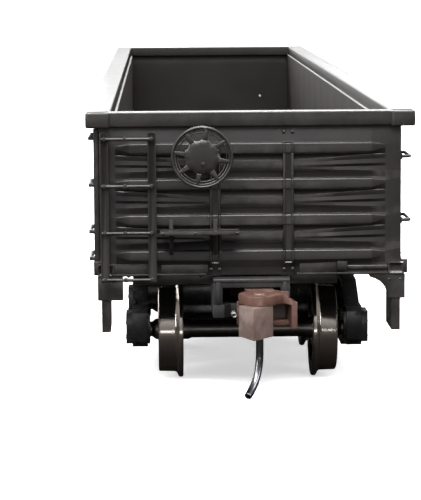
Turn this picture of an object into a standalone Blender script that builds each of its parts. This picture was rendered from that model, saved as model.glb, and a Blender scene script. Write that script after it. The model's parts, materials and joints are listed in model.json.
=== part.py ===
"""Model railway gondola car: an open-top, high-side car for 16.5 mm gauge track, built as an assembly.

Metres, +Z up. The car runs along Y, with the brake end (end "b") at -Y and the plain end (end "a") at +Y.
Z = 0 is the top of the rails, and X = 0 and Y = 0 are the middle of the car. Both ends are the same shape,
turned half round about Z, so end pieces are modelled at -Y and turned.
"""
import bpy
import bmesh
from math import cos, pi, radians, sin
from mathutils import Matrix, Vector

# ---- Driving dimensions ----
# Fits
SEAT_GAP = 0.00003          # between fixed pieces that touch on the real car
RUNNING_GAP = 0.00005       # radial clearance of every pin, axle and screw that turns in a hole
PRESS_GAP = 0.00002         # radial clearance of a press fit, kept so that solids stay apart

# Wheels and axles
BACK_TO_BACK = 0.0144
WHEEL_WIDTH = 0.00279
TREAD_DIAMETER = 0.00963
FLANGE_HEIGHT = 0.00064
FLANGE_WIDTH = 0.00076
AXLE_DIAMETER = 0.00236
AXLE_LENGTH = 0.0258
POINT_LENGTH = 0.0017       # length of the turned point at each end of an axle

# Trucks
WHEELBASE = 0.0198
TRUCK_SETBACK = 0.02295     # from the end of the body to the truck's centre
FRAME_INSIDE = 0.0218       # between the two side frames
FRAME_THICKNESS = 0.0021
JOURNAL_CAP = 0.0006        # how far a journal box stands out from its side frame
TRUCK_BOLSTER_WIDTH = 0.0050
KING_SCREW_DIAMETER = 0.0022

# Body
BODY_LENGTH = 0.1861
SHEET_WIDTH = 0.0322        # over the side sheets
SIDE_WALL = 0.0015
END_WALL = 0.00075
END_RECESS = 0.00045        # end sheet behind the face of the top chord
TOP_HEIGHT = 0.0302
CHORD_OVERHANG = 0.0014     # top chord outside the side sheet
CHORD_DEPTH = 0.00158
SIDE_CHORD_BREADTH = 0.00265
END_CHORD_BREADTH = 0.0022
FLOOR_HEIGHT = 0.01445
FLOOR_THICKNESS = 0.0009
WEIGHT_THICKNESS = 0.00045
DECK_THICKNESS = 0.00055
SILL_BOTTOM = 0.0127
SIDE_SILL_DEPTH = 0.0015
POST_WIDTH = 0.0011
POST_DEPTH = 0.00065
POST_PITCH = 0.0127
END_POSTS = (-0.0038, 0.0040)  # middles of the two posts on each end
RIB_COUNT = 4
RIB_RISE = 0.0006           # crest of an end rib over the end sheet
RIB_ABOVE = 0.00105         # a rib's upper slope over its crest
RIB_BELOW = 0.0008          # a rib's lower slope under its crest
TOP_RIB_DROP = 0.0028       # crest of the highest rib below the top chord
LOW_RIB_LIFT = 0.00164      # crest of the lowest rib above the bottom of the body

# Centre sill and couplers
CENTRE_SILL_WIDTH = 0.0064
CENTRE_SILL_BOTTOM = 0.0096
BOX_WIDTH = 0.0082
BOX_LENGTH = 0.0105
BOX_REACH = 0.0010          # box mouth in front of the end of the body
BOX_WALL = 0.0010
BOX_ROOF = 0.00095
LID_THICKNESS = 0.00138
COUPLER_SETBACK = 0.0040    # coupler pivot behind the end of the body
POCKET_HEIGHT = 0.00183
PIVOT_POST_DIAMETER = 0.0025
LID_SCREW_DIAMETER = 0.0017
SHANK_WIDTH = 0.0030
SHANK_THICKNESS = 0.0015
HEAD_REACH = 0.0090         # knuckle pin in front of the coupler pivot
HEAD_HALF_WIDTH = 0.0029
KNUCKLE_PIN_OFFSET = 0.0008
KNUCKLE_HEIGHT = 0.0033
TRIP_PIN_DIAMETER = 0.0009
TRIP_PIN_CLEARANCE = 0.0005  # lowest point of the trip pin over the rail
COUPLER_REST_TURN = radians(9.3)  # the brake-end coupler rests swung towards +X

# Hand brake and safety gear
BRAKE_WHEEL_DIAMETER = 0.0066
BRAKE_WHEEL_DROP = 0.00464  # wheel's centre below the top of the body
BRAKE_WHEEL_OFFSET = 0.0052  # wheel's centre from the middle of the end
BRAKE_SHAFT_DIAMETER = 0.0010
BRAKE_STEP_DROP = 0.0124
ROUND_BAR = 0.0004          # rungs and grab irons
RUNG_COUNT = 4
GRAB_COUNT = 2

# ---- Worked out from the driving dimensions ----
END_FACE = BODY_LENGTH / 2
END_SHEET = END_FACE - END_RECESS
INSIDE_LENGTH = 2 * (END_SHEET - END_WALL)
INSIDE_WIDTH = SHEET_WIDTH - 2 * SIDE_WALL
CHORD_WIDTH = SHEET_WIDTH + 2 * CHORD_OVERHANG
CHORD_BOTTOM = TOP_HEIGHT - CHORD_DEPTH
RIB_CREST = END_SHEET + RIB_RISE
AXLE_HEIGHT = TREAD_DIAMETER / 2
JOURNAL_RADIUS = AXLE_DIAMETER / 2 * 0.72
TRUCK_CENTRE = END_FACE - TRUCK_SETBACK
FLOOR_BOTTOM = FLOOR_HEIGHT - FLOOR_THICKNESS
DECK_TOP = FLOOR_BOTTOM - WEIGHT_THICKNESS - 2 * SEAT_GAP
DECK_BOTTOM = DECK_TOP - DECK_THICKNESS
BOX_TOP = DECK_BOTTOM - SEAT_GAP
POCKET_TOP = BOX_TOP - BOX_ROOF
POCKET_BOTTOM = POCKET_TOP - POCKET_HEIGHT
LID_TOP = POCKET_BOTTOM - SEAT_GAP
LID_BOTTOM = LID_TOP - LID_THICKNESS
SHANK_TOP = (POCKET_TOP + POCKET_BOTTOM + SHANK_THICKNESS) / 2
SHANK_BOTTOM = SHANK_TOP - SHANK_THICKNESS
COUPLER_PIVOT = END_FACE - COUPLER_SETBACK
CENTRE_PLATE = CENTRE_SILL_BOTTOM - 0.0003
TRUCK_BOLSTER_TOP = CENTRE_PLATE - SEAT_GAP
TRUCK_BOLSTER_BOTTOM = TRUCK_BOLSTER_TOP - 0.0027
LEVER_PLACE = -0.0180       # brake lever at the end of the piston rod
SOLID = 0.0001              # how far joined shapes run into each other

CAR = bpy.data.collections.new("gondola_car")
TOOLS = bpy.data.collections.new("cutters")


def start():
    for obj in list(bpy.data.objects):
        bpy.data.objects.remove(obj)
    bpy.context.scene.collection.children.link(CAR)
    bpy.context.scene.collection.children.link(TOOLS)


def material(name, colour, roughness, metallic=0.0):
    mat = bpy.data.materials.new(name)
    mat.use_nodes = True
    shader = mat.node_tree.nodes["Principled BSDF"]
    shader.inputs["Base Color"].default_value = (*colour, 1.0)
    shader.inputs["Roughness"].default_value = roughness
    shader.inputs["Metallic"].default_value = metallic
    return mat


# ---- Shapes ----
def object_of(mesh, collection=CAR):
    obj = bpy.data.objects.new(mesh.name, mesh)
    collection.objects.link(obj)
    return obj


def boxes(name, corners):
    """One mesh holding a box for each (low, high) pair of corners."""
    bm = bmesh.new()
    for low, high in corners:
        low = Vector(low)
        high = Vector(high)
        place = Matrix.Translation((low + high) / 2) @ Matrix.Diagonal((*(high - low), 1.0))
        bmesh.ops.create_cube(bm, size=1.0, matrix=place)
    mesh = bpy.data.meshes.new(name)
    bm.to_mesh(mesh)
    bm.free()
    return object_of(mesh)


def cylinder(name, radius, start_point, end_point, segments=16):
    start_point = Vector(start_point)
    span = Vector(end_point) - start_point
    turn = span.to_track_quat("Z", "Y").to_matrix().to_4x4()
    place = Matrix.Translation(start_point + span / 2) @ turn
    bm = bmesh.new()
    bmesh.ops.create_cone(bm, cap_ends=True, segments=segments, radius1=radius, radius2=radius,
                          depth=span.length, matrix=place)
    mesh = bpy.data.meshes.new(name)
    bm.to_mesh(mesh)
    bm.free()
    round_off(mesh)
    return object_of(mesh)


def round_off(mesh):
    mesh.shade_smooth()
    mesh.set_sharp_from_angle(angle=radians(35))


def turned(name, profile, closed=False, segments=20):
    """Turn a profile of (radius, height) points about Z; it runs down its outer side, top to bottom."""
    count = len(profile)
    edges = [(i, i + 1) for i in range(count - 1)]
    if closed:
        edges.append((count - 1, 0))
    mesh = bpy.data.meshes.new(name)
    mesh.from_pydata([(radius, 0.0, height) for radius, height in profile], edges, [])
    obj = object_of(mesh)
    screw = obj.modifiers.new("turn", "SCREW")
    screw.steps = segments
    screw.render_steps = segments
    screw.use_merge_vertices = True
    screw.merge_threshold = 0.000001
    screw.use_smooth_shade = True
    return obj


def as_mesh(obj):
    """Replace a curve, or an object with modifiers, by the welded mesh that it makes."""
    bpy.context.view_layer.update()
    evaluated = obj.evaluated_get(bpy.context.evaluated_depsgraph_get())
    mesh = bpy.data.meshes.new_from_object(evaluated)
    bm = bmesh.new()
    bm.from_mesh(mesh)
    bmesh.ops.remove_doubles(bm, verts=bm.verts, dist=0.000001)
    bmesh.ops.recalc_face_normals(bm, faces=bm.faces)
    bm.to_mesh(mesh)
    bm.free()
    name = obj.name
    matrix = obj.matrix_world.copy()
    bpy.data.objects.remove(obj)
    mesh.name = name
    solid = object_of(mesh)
    solid.name = name
    solid.matrix_world = matrix
    return solid


def plate(name, outline, low, high, holes=(), axis="Z"):
    """A flat outline and its holes, extruded from low to high along Z, X or Y.

    Outline points are (x, y) for Z, (y, z) for X and (x, z) for Y.
    """
    curve = bpy.data.curves.new(name, "CURVE")
    curve.dimensions = "2D"
    curve.fill_mode = "BOTH"
    curve.extrude = (high - low) / 2
    for points in (outline, *holes):
        spline = curve.splines.new("POLY")
        spline.points.add(len(points) - 1)
        for point, (across, along) in zip(spline.points, points):
            point.co = (across, along, 0.0, 1.0)
        spline.use_cyclic_u = True
    obj = bpy.data.objects.new(name, curve)
    CAR.objects.link(obj)
    middle = (low + high) / 2
    places = {
        "Z": Matrix.Translation((0, 0, middle)),
        "X": Matrix(((0, 0, 1, middle), (1, 0, 0, 0), (0, 1, 0, 0), (0, 0, 0, 1))),
        "Y": Matrix(((1, 0, 0, 0), (0, 0, -1, middle), (0, 1, 0, 0), (0, 0, 0, 1))),
    }
    obj.matrix_world = places[axis]
    solid = as_mesh(obj)
    solid.data.transform(solid.matrix_world)
    solid.matrix_world = Matrix.Identity(4)
    return solid


def wire(name, points, radius):
    curve = bpy.data.curves.new(name, "CURVE")
    curve.dimensions = "3D"
    curve.bevel_depth = radius
    curve.bevel_resolution = 2
    curve.use_fill_caps = True
    spline = curve.splines.new("POLY")
    spline.points.add(len(points) - 1)
    for point, place in zip(spline.points, points):
        point.co = (*place, 1.0)
    obj = bpy.data.objects.new(name, curve)
    CAR.objects.link(obj)
    return as_mesh(obj)


def arc(centre, radius, first, last, steps):
    """Points on an arc, from the first to the last angle in degrees."""
    angles = [radians(first + (last - first) * i / steps) for i in range(steps + 1)]
    return [(centre[0] + radius * cos(a), centre[1] + radius * sin(a)) for a in angles]


def rectangle(low_x, low_y, high_x, high_y):
    return [(low_x, low_y), (high_x, low_y), (high_x, high_y), (low_x, high_y)]


def shape_with(obj, operation, tool):
    tool.hide_render = True
    tool.display_type = "WIRE"
    for collection in list(tool.users_collection):
        collection.objects.unlink(tool)
    TOOLS.objects.link(tool)
    boolean = obj.modifiers.new(tool.name, "BOOLEAN")
    boolean.operation = operation
    boolean.solver = "EXACT"
    boolean.object = tool


def add(obj, *tools):
    for tool in tools:
        shape_with(obj, "UNION", tool)


def cut(obj, *tools):
    for tool in tools:
        shape_with(obj, "DIFFERENCE", tool)


def pivot(name, location, turn=0.0, parent=None):
    """An empty on a joint's axis, which the pieces of a moving body are parented to."""
    empty = bpy.data.objects.new(name, None)
    empty.empty_display_size = 0.004
    empty.location = location
    empty.rotation_euler = (0.0, 0.0, turn)
    empty.parent = parent
    CAR.objects.link(empty)
    return empty


def finished(obj, name, mat, parent=None, turn=None):
    obj = as_mesh(obj)
    obj.name = name
    obj.data.name = name
    obj.data.materials.clear()
    obj.data.materials.append(mat)
    round_off(obj.data)
    if turn is not None:
        obj.rotation_euler = (0.0, 0.0, turn)
    obj.parent = parent
    return obj


# ---- Body ----
def side_post_places():
    """Where the side posts stand along the car, clear of the ladder and grab irons at both ends."""
    span = BODY_LENGTH - 2 * 0.0085
    count = round(span / POST_PITCH)
    return [-span / 2 + span * i / count for i in range(count + 1)]


def body_outline():
    half = SHEET_WIDTH / 2
    posts = side_post_places()
    right = []
    for place in posts:
        low = place - POST_WIDTH / 2
        high = place + POST_WIDTH / 2
        right += [(half, low), (half + POST_DEPTH, low), (half + POST_DEPTH, high), (half, high)]
    left = [(-x, -y) for x, y in right]
    return [(half, -END_SHEET), *right, (half, END_SHEET), (-half, END_SHEET), *left, (-half, -END_SHEET)]


def end_rib_heights():
    """Crest heights of the horizontal ribs, spaced evenly between the end sill and the top chord."""
    low = SILL_BOTTOM + LOW_RIB_LIFT
    pitch = (CHORD_BOTTOM - TOP_RIB_DROP - low) / (RIB_COUNT - 1)
    return [low + pitch * i for i in range(RIB_COUNT)]


def end_sill_top():
    return SILL_BOTTOM + LOW_RIB_LIFT - RIB_BELOW / 2


def end_ribs():
    """Pointed horizontal ribs of one end, as one mesh of separate bodies."""
    reach = SHEET_WIDTH / 2 - 0.0013
    taper = 0.0016
    parts = []
    for i, height in enumerate(end_rib_heights()):
        half = [(reach - taper, height - RIB_BELOW), (reach, height), (reach - taper, height + RIB_ABOVE)]
        outline = [*half, *[(-x, z) for x, z in reversed(half)]]
        parts.append(plate(f"rib_{i}", outline, -RIB_CREST, -END_SHEET + SOLID, axis="Y"))
    return parts


def end_details():
    """Ribs, posts, sill and chord corners that stand on the -Y end of the body."""
    half = SHEET_WIDTH / 2
    post_depth = END_FACE + 0.00035
    corner_x = CHORD_WIDTH / 2
    low = -END_SHEET + SOLID
    foot = end_sill_top() - 0.0002
    head = CHORD_BOTTOM - 0.0016
    uprights = [((x - 0.0005, -post_depth, foot), (x + 0.0005, low, head))
                for x in END_POSTS]
    corners = []
    for side in (-1, 1):
        left, right = sorted((side * corner_x, side * (corner_x - SIDE_CHORD_BREADTH)))
        corners.append(((left, -END_FACE - 0.0004, CHORD_BOTTOM), (right, -END_FACE + 0.0015, TOP_HEIGHT)))
    sill = [((-half + 0.0002, -END_FACE + 0.0001, SILL_BOTTOM), (half - 0.0002, low, end_sill_top()))]
    return [*end_ribs(), boxes("end_uprights", uprights), boxes("chord_corners", corners),
            boxes("end_sill", sill)]


def body_shell(mat):
    half = SHEET_WIDTH / 2
    inside = rectangle(-INSIDE_WIDTH / 2, -INSIDE_LENGTH / 2, INSIDE_WIDTH / 2, INSIDE_LENGTH / 2)
    shell = plate("shell", body_outline(), SILL_BOTTOM + SOLID, TOP_HEIGHT - 0.001, holes=[inside])
    chord_inside = CHORD_WIDTH / 2 - SIDE_CHORD_BREADTH
    chord_end = END_FACE - END_CHORD_BREADTH
    chord = plate("top_chord", rectangle(-CHORD_WIDTH / 2, -END_FACE, CHORD_WIDTH / 2, END_FACE),
                  CHORD_BOTTOM, TOP_HEIGHT,
                  holes=[rectangle(-chord_inside, -chord_end, chord_inside, chord_end)])
    sill_reach = half + POST_DEPTH + 0.0001
    sill = plate("side_sill", rectangle(-sill_reach, -END_SHEET + 0.0002, sill_reach, END_SHEET - 0.0002),
                 SILL_BOTTOM, SILL_BOTTOM + SIDE_SILL_DEPTH, holes=[inside])
    add(shell, chord, sill)
    for turn in (0.0, pi):
        for detail in end_details():
            detail.rotation_euler = (0.0, 0.0, turn)
            add(shell, detail)
    box_half = BOX_WIDTH / 2 + SEAT_GAP
    reach = END_FACE + 0.002
    box_room = boxes("box_room", [((-box_half, -reach, SILL_BOTTOM - 0.001),
                                   (box_half, reach, BOX_TOP + SEAT_GAP))])
    cut(shell, box_room)
    finished(shell, "body_shell", mat)


def floor_and_weight(black, steel):
    half_width = INSIDE_WIDTH / 2 - SEAT_GAP
    half_length = INSIDE_LENGTH / 2 - SEAT_GAP
    floor = boxes("floor", [((-half_width, -half_length, FLOOR_BOTTOM),
                             (half_width, half_length, FLOOR_HEIGHT))])
    finished(floor, "load_floor", black)
    weight_top = FLOOR_BOTTOM - SEAT_GAP
    reach = TRUCK_CENTRE + 0.0095
    weight = boxes("weight", [((-half_width + 0.0015, -reach, weight_top - WEIGHT_THICKNESS),
                               (half_width - 0.0015, reach, weight_top))])
    finished(weight, "ballast_weight", steel)


def underframe(mat):
    half_width = INSIDE_WIDTH / 2 - SEAT_GAP
    half_length = INSIDE_LENGTH / 2 - SEAT_GAP
    sill_half = CENTRE_SILL_WIDTH / 2
    sill_end = END_FACE + BOX_REACH - BOX_LENGTH - 0.00015
    deck = boxes("deck", [((-half_width, -half_length, DECK_BOTTOM), (half_width, half_length, DECK_TOP))])
    sill = boxes("centre_sill", [((-sill_half, -sill_end, CENTRE_SILL_BOTTOM),
                                  (sill_half, sill_end, DECK_BOTTOM + SOLID))])
    add(deck, sill)
    bearer_low = DECK_BOTTOM - 0.00155
    for place in (-2 / 3, -1 / 3, 1 / 3, 2 / 3):
        y = TRUCK_CENTRE * place
        bearer = boxes("cross_bearer", [((-half_width + 0.0004, y - 0.0005, bearer_low),
                                         (half_width - 0.0004, y + 0.0005, DECK_BOTTOM + SOLID))])
        add(deck, bearer)
    for sign in (-1, 1):
        y = sign * TRUCK_CENTRE
        bolster = boxes("body_bolster", [((-half_width + 0.001, y - 0.002, bearer_low),
                                          (half_width - 0.001, y + 0.002, DECK_BOTTOM + SOLID))])
        boss = cylinder("centre_plate", 0.0028, (0, y, CENTRE_PLATE),
                        (0, y, CENTRE_SILL_BOTTOM + SOLID), 24)
        screw_hole = cylinder("king_screw_hole", KING_SCREW_DIAMETER / 2 + SEAT_GAP,
                              (0, y, CENTRE_PLATE - 0.001), (0, y, DECK_TOP - 0.0001), 16)
        lid_hole = cylinder("lid_screw_hole", LID_SCREW_DIAMETER / 2 + SEAT_GAP,
                            (0, sign * COUPLER_PIVOT, DECK_BOTTOM - 0.001),
                            (0, sign * COUPLER_PIVOT, DECK_TOP + 0.001), 16)
        add(deck, bolster, boss)
        cut(deck, screw_hole, lid_hole)
    finished(deck, "underframe", mat)


def screw(name, mat, diameter, head_diameter, head_bottom, seat, top, y):
    """A cheese-head screw pointing up, with a slot across its head."""
    head = head_diameter / 2
    shank = diameter / 2
    body = turned(name + "_turned", [(0.0, top), (shank * 0.8, top), (shank, top - shank * 0.3),
                                     (shank, seat),
                                     (head, seat), (head, head_bottom + 0.0002),
                                     (head - 0.0002, head_bottom), (0.0, head_bottom)], segments=16)
    body.location = (0.0, y, 0.0)
    slot_depth = (seat - head_bottom) * 0.5
    slot = boxes(name + "_slot", [((-head - SOLID, y - 0.00018, head_bottom - SOLID),
                                   (head + SOLID, y + 0.00018, head_bottom + slot_depth))])
    cut(body, slot)
    finished(body, name, mat)


# ---- Draft gear and couplers ----
def draft_gear(end, turn, black, steel):
    half = BOX_WIDTH / 2
    front = END_FACE + BOX_REACH
    rear = front - BOX_LENGTH
    box = boxes("box_" + end, [((-half, -front, POCKET_BOTTOM), (half, -rear, BOX_TOP))])
    pocket = boxes("pocket_" + end, [((-half + BOX_WALL, -front - 0.001, POCKET_BOTTOM - 0.001),
                                      (half - BOX_WALL, -rear - BOX_WALL, POCKET_TOP))])
    post = cylinder("pivot_post_" + end, PIVOT_POST_DIAMETER / 2, (0, -COUPLER_PIVOT, POCKET_BOTTOM),
                    (0, -COUPLER_PIVOT, POCKET_TOP + SOLID), 20)
    hole_radius = LID_SCREW_DIAMETER / 2 + SEAT_GAP
    hole = cylinder("post_hole_" + end, hole_radius, (0, -COUPLER_PIVOT, LID_BOTTOM - 0.001),
                    (0, -COUPLER_PIVOT, BOX_TOP + 0.001), 16)
    cut(box, pocket)
    add(box, post)
    cut(box, hole)
    finished(box, "draft_gear_box_" + end, black, turn=turn)

    notch = 0.0009
    outline = [(-half, -front), (-half + 0.0012, -front), (-half + 0.0019, -front + notch),
               (half - 0.0019, -front + notch), (half - 0.0012, -front), (half, -front), (half, -rear),
               (-half, -rear)]
    lid = plate("lid_" + end, outline, LID_BOTTOM, LID_TOP)
    lid_hole = cylinder("lid_hole_" + end, hole_radius, (0, -COUPLER_PIVOT, LID_BOTTOM - 0.001),
                        (0, -COUPLER_PIVOT, BOX_TOP), 16)
    cut(lid, lid_hole)
    finished(lid, "draft_gear_lid_" + end, black, turn=turn)

    side = -1 if end == "b" else 1
    seat = LID_BOTTOM - SEAT_GAP
    screw("lid_screw_" + end, steel, LID_SCREW_DIAMETER, 0.0032, seat - 0.0008, seat, DECK_TOP - 0.0001,
          side * COUPLER_PIVOT)


def coupler_head(end, mat, parent):
    """Shank and head, in the coupler's own frame: the pivot at the origin and the mouth towards -Y."""
    eye = PIVOT_POST_DIAMETER / 2 + RUNNING_GAP
    half_shank = SHANK_WIDTH / 2
    pin = (-KNUCKLE_PIN_OFFSET, -HEAD_REACH)
    back = -HEAD_REACH + 0.0014
    neck = back + 0.0013
    wide = HEAD_HALF_WIDTH
    guard = -HEAD_REACH - 0.0016
    boss = 0.0018
    lug_top = SHANK_TOP
    lug_bottom = lug_top - 0.00098
    knuckle_top = lug_bottom - RUNNING_GAP
    lower_top = knuckle_top - KNUCKLE_HEIGHT + 0.0015
    lower_bottom = lower_top - 0.00055

    shank_outline = [*arc((0, 0), half_shank + 0.0007, 0, 180, 12), (-half_shank, -0.0016),
                     (-half_shank, neck), (half_shank, neck), (half_shank, -0.0016)]
    shank = plate("shank_" + end, shank_outline, SHANK_BOTTOM, SHANK_TOP)
    upper_outline = [(-half_shank, neck + SOLID), (-wide + 0.0003, back + 0.0003), (-wide, back - 0.0006),
                     *arc(pin, boss, 190, 330, 10), (0.0016, pin[1] - 0.0004), (wide - 0.0006, guard),
                     (wide, guard), (wide, back), (half_shank, neck + SOLID)]
    upper = plate("upper_lug_" + end, upper_outline, lug_bottom, lug_top)
    block_outline = [(-half_shank, neck), (-wide, back + 0.0003), (-wide, back), (wide, back),
                     (wide, back + 0.0003), (half_shank, neck)]
    block = plate("head_block_" + end, block_outline, lower_bottom, lug_bottom + SOLID)
    arm_outline = rectangle(wide - 0.0006, guard, wide, back + SOLID)
    arm = plate("guard_arm_" + end, arm_outline, lower_bottom, lug_bottom + SOLID)
    lower_outline = [(pin[0] - 0.0013, back + SOLID), *arc(pin, 0.0013, 180, 360, 10),
                     (wide - SOLID, pin[1] + 0.0001), (wide - SOLID, back + SOLID)]
    lower = plate("lower_lug_" + end, lower_outline, lower_bottom, lower_top)
    eye_hole = cylinder("eye_hole_" + end, eye, (0, 0, SHANK_BOTTOM - 0.001), (0, 0, SHANK_TOP + 0.001), 20)
    pin_room = TRIP_PIN_DIAMETER / 2 + RUNNING_GAP
    pin_hole = cylinder("pin_hole_" + end, pin_room, (*pin, lower_bottom - 0.001),
                        (*pin, lug_top + 0.001), 12)
    chamfer_outline = [(wide - 0.0012, lug_top + SOLID), (wide + SOLID, lug_top + SOLID),
                       (wide + SOLID, lug_top - 0.0007), (wide - 0.0004, lug_top - 0.0007)]
    chamfer = plate("guard_chamfer_" + end, chamfer_outline, guard - SOLID, back + 0.0002, axis="Y")
    add(shank, upper, block, arm, lower)
    cut(shank, eye_hole, pin_hole, chamfer)
    finished(shank, "coupler_" + end, mat, parent)
    return pin, knuckle_top, lower_top, lower_bottom


def knuckle(end, mat, parent, pin, top, lug_top):
    """Knuckle about its own pin: a hub between the lugs and a wedge-shaped nose in front of them."""
    bottom = top - KNUCKLE_HEIGHT
    hub_bottom = lug_top + RUNNING_GAP
    hub = cylinder("hub_" + end, 0.00125, (0, 0, hub_bottom), (0, 0, top), 20)
    outline = [(-0.00225, -0.00015), (-0.00135, -0.0035), (0.00122, -0.00105), (0.0009, -0.0003)]
    nose = plate("nose_" + end, outline, bottom, top)
    room_radius = 0.0013 + RUNNING_GAP + SEAT_GAP
    lug_room = cylinder("lug_room_" + end, room_radius, (0, 0, bottom - 0.001), (0, 0, hub_bottom), 20)
    hole_radius = TRIP_PIN_DIAMETER / 2 + PRESS_GAP
    hole = cylinder("hub_hole_" + end, hole_radius, (0, 0, bottom - 0.001), (0, 0, top + 0.001), 12)
    cut(nose, lug_room)
    add(hub, nose)
    cut(hub, hole)
    finished(hub, "knuckle_" + end, mat, parent)


def trip_pin(end, mat, parent):
    """Bent steel wire: the knuckle's pin, then a curve forwards and to one side, just over the rail."""
    radius = TRIP_PIN_DIAMETER / 2
    lowest = TRIP_PIN_CLEARANCE + radius
    bend_start = SHANK_TOP - 0.0062
    drop = bend_start - lowest
    heading = radians(-39.5)
    points = [(0.0, 0.0, SHANK_TOP - 0.00004), (0.0, 0.0, bend_start)]
    steps = 9
    for i in range(1, steps + 1):
        angle = radians(66) * i / steps
        out = drop / sin(radians(66)) * (1 - cos(angle))
        down = drop / sin(radians(66)) * sin(angle)
        points.append((out * sin(heading), -out * cos(heading), bend_start - down))
    pin = wire("pin_" + end, points, radius)
    finished(pin, "trip_pin_" + end, mat, parent)


def couplers(end, turn, rest_turn, brown, steel):
    side = -1 if end == "b" else 1
    swing = pivot("coupler_pivot_" + end, (0, side * COUPLER_PIVOT, 0), turn + rest_turn)
    pin, knuckle_top, lug_top, lug_bottom = coupler_head(end, brown, swing)
    hinge = pivot("knuckle_pivot_" + end, (*pin, 0), 0.0, swing)
    knuckle(end, brown, hinge, pin, knuckle_top, lug_top)
    trip_pin(end, steel, hinge)
    spring_x = -HEAD_HALF_WIDTH - 0.00032 - 0.00006
    spring_z = (lug_bottom + knuckle_top) / 2
    spring = cylinder("spring_" + end, 0.00032, (spring_x, -HEAD_REACH + 0.0005, spring_z),
                      (spring_x, -HEAD_REACH + 0.0019, spring_z), 12)
    finished(spring, "knuckle_spring_" + end, steel, swing)


# ---- Trucks ----
def side_frame(name, side, mat, parent):
    """Cast side frame: a pedestal with a journal box over each axle, and a window for the bolster."""
    reach = WHEELBASE / 2
    top = TRUCK_BOLSTER_TOP + 0.0002
    axle = AXLE_HEIGHT
    half = [(0.0042, top), (reach - 0.0026, axle + 0.0031), (reach - 0.0017, axle + 0.0026),
            (reach + 0.0015, axle + 0.0026), (reach + 0.0020, axle + 0.0021),
            (reach + 0.0020, axle - 0.0011), (reach + 0.0013, axle - 0.0018),
            (reach - 0.0013, axle - 0.0018), (reach - 0.0020, axle - 0.0010), (0.0048, axle - 0.0026),
            (0.0040, axle - 0.0030)]
    outline = [*half, *[(-y, z) for y, z in reversed(half)]]
    window_half = TRUCK_BOLSTER_WIDTH / 2 + 0.0004
    window = rectangle(-window_half, axle - 0.0020, window_half, TRUCK_BOLSTER_TOP - 0.0008)
    openings = []
    for s in (-1, 1):
        openings.append([(s * 0.0040, axle - 0.0016), (s * 0.0040, top - 0.0013),
                         (s * (reach - 0.0028), axle + 0.0018), (s * (reach - 0.0028), axle - 0.0002)])
    inner = FRAME_INSIDE / 2
    outer = inner + FRAME_THICKNESS
    low, high = sorted((side * (inner + 0.0003), side * (outer - 0.0001)))
    frame = plate(name + "_plate", outline, low, high, holes=[window, *openings], axis="X")
    tip = AXLE_LENGTH / 2
    for s in (-1, 1):
        y = s * reach
        journal_low, journal_high = sorted((side * inner, side * (outer + JOURNAL_CAP)))
        journal = boxes(name + "_journal", [((journal_low, y - 0.00155, axle - 0.0014),
                                             (journal_high, y + 0.00155, axle + 0.0020))])
        add(frame, journal)
    for s in (-1, 1):
        y = s * reach
        wide = JOURNAL_RADIUS + RUNNING_GAP
        deep = tip + RUNNING_GAP
        mouth = tip - POINT_LENGTH
        pit = [(0.0, deep), (wide, mouth), (wide, inner - 0.0005), (0.0, inner - 0.0005)]
        cone = turned(name + "_bearing", pit, segments=16)
        cone.rotation_euler = (0.0, side * pi / 2, 0.0)
        cone.location = (0.0, y, axle)
        cut(frame, cone)
    finished(frame, name, mat, parent)


def truck_bolster(name, mat, parent):
    """Bolster with its centre plate, king screw hole, and the brake beams moulded on it."""
    half = TRUCK_BOLSTER_WIDTH / 2
    top = TRUCK_BOLSTER_TOP
    bottom = TRUCK_BOLSTER_BOTTOM
    frame_gap = FRAME_INSIDE / 2 + 0.0003
    end_top = top - 0.0008 - RUNNING_GAP
    bar_reach = frame_gap - RUNNING_GAP
    bar = boxes(name + "_bar", [((-bar_reach, -half, bottom), (bar_reach, half, top - 0.0006))])
    seat = cylinder(name + "_seat", 0.0026, (0, 0, bottom + 0.0005), (0, 0, top), 24)
    tenon_reach = FRAME_INSIDE / 2 + FRAME_THICKNESS - 0.0006
    tenon = boxes(name + "_tenon", [((-tenon_reach, -half + 0.0003, bottom + 0.0004),
                                     (tenon_reach, half - 0.0003, end_top))])
    beam_y = WHEELBASE / 2 - TREAD_DIAMETER / 2 - FLANGE_HEIGHT - 0.0009
    wheel_inside = BACK_TO_BACK / 2
    beams = []
    for s in (-1, 1):
        low, high = sorted((s * (half - SOLID), s * beam_y))
        strut = boxes(name + "_strut", [((-0.0009, low, AXLE_HEIGHT - 0.0003),
                                         (0.0009, high, AXLE_HEIGHT + 0.0004))])
        beam_reach = wheel_inside - 0.0006
        beam = boxes(name + "_beam", [((-beam_reach, s * beam_y - 0.00035, AXLE_HEIGHT - 0.0004),
                                       (beam_reach, s * beam_y + 0.00035, AXLE_HEIGHT + 0.0003))])
        beams += [strut, beam]
    keel = boxes(name + "_keel", [((-0.0022, -half + 0.0001, AXLE_HEIGHT - 0.0002),
                                   (0.0022, half - 0.0001, bottom + SOLID))])
    hole_radius = KING_SCREW_DIAMETER / 2 + RUNNING_GAP
    below = AXLE_HEIGHT - 0.002
    hole = cylinder(name + "_hole", hole_radius, (0, 0, below), (0, 0, top + 0.001), 20)
    head_room = cylinder(name + "_head_room", 0.0019, (0, 0, below), (0, 0, bottom - 0.0001), 20)
    add(bar, seat, tenon, keel, *beams)
    cut(bar, head_room, hole)
    finished(bar, name, mat, parent)


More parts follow.
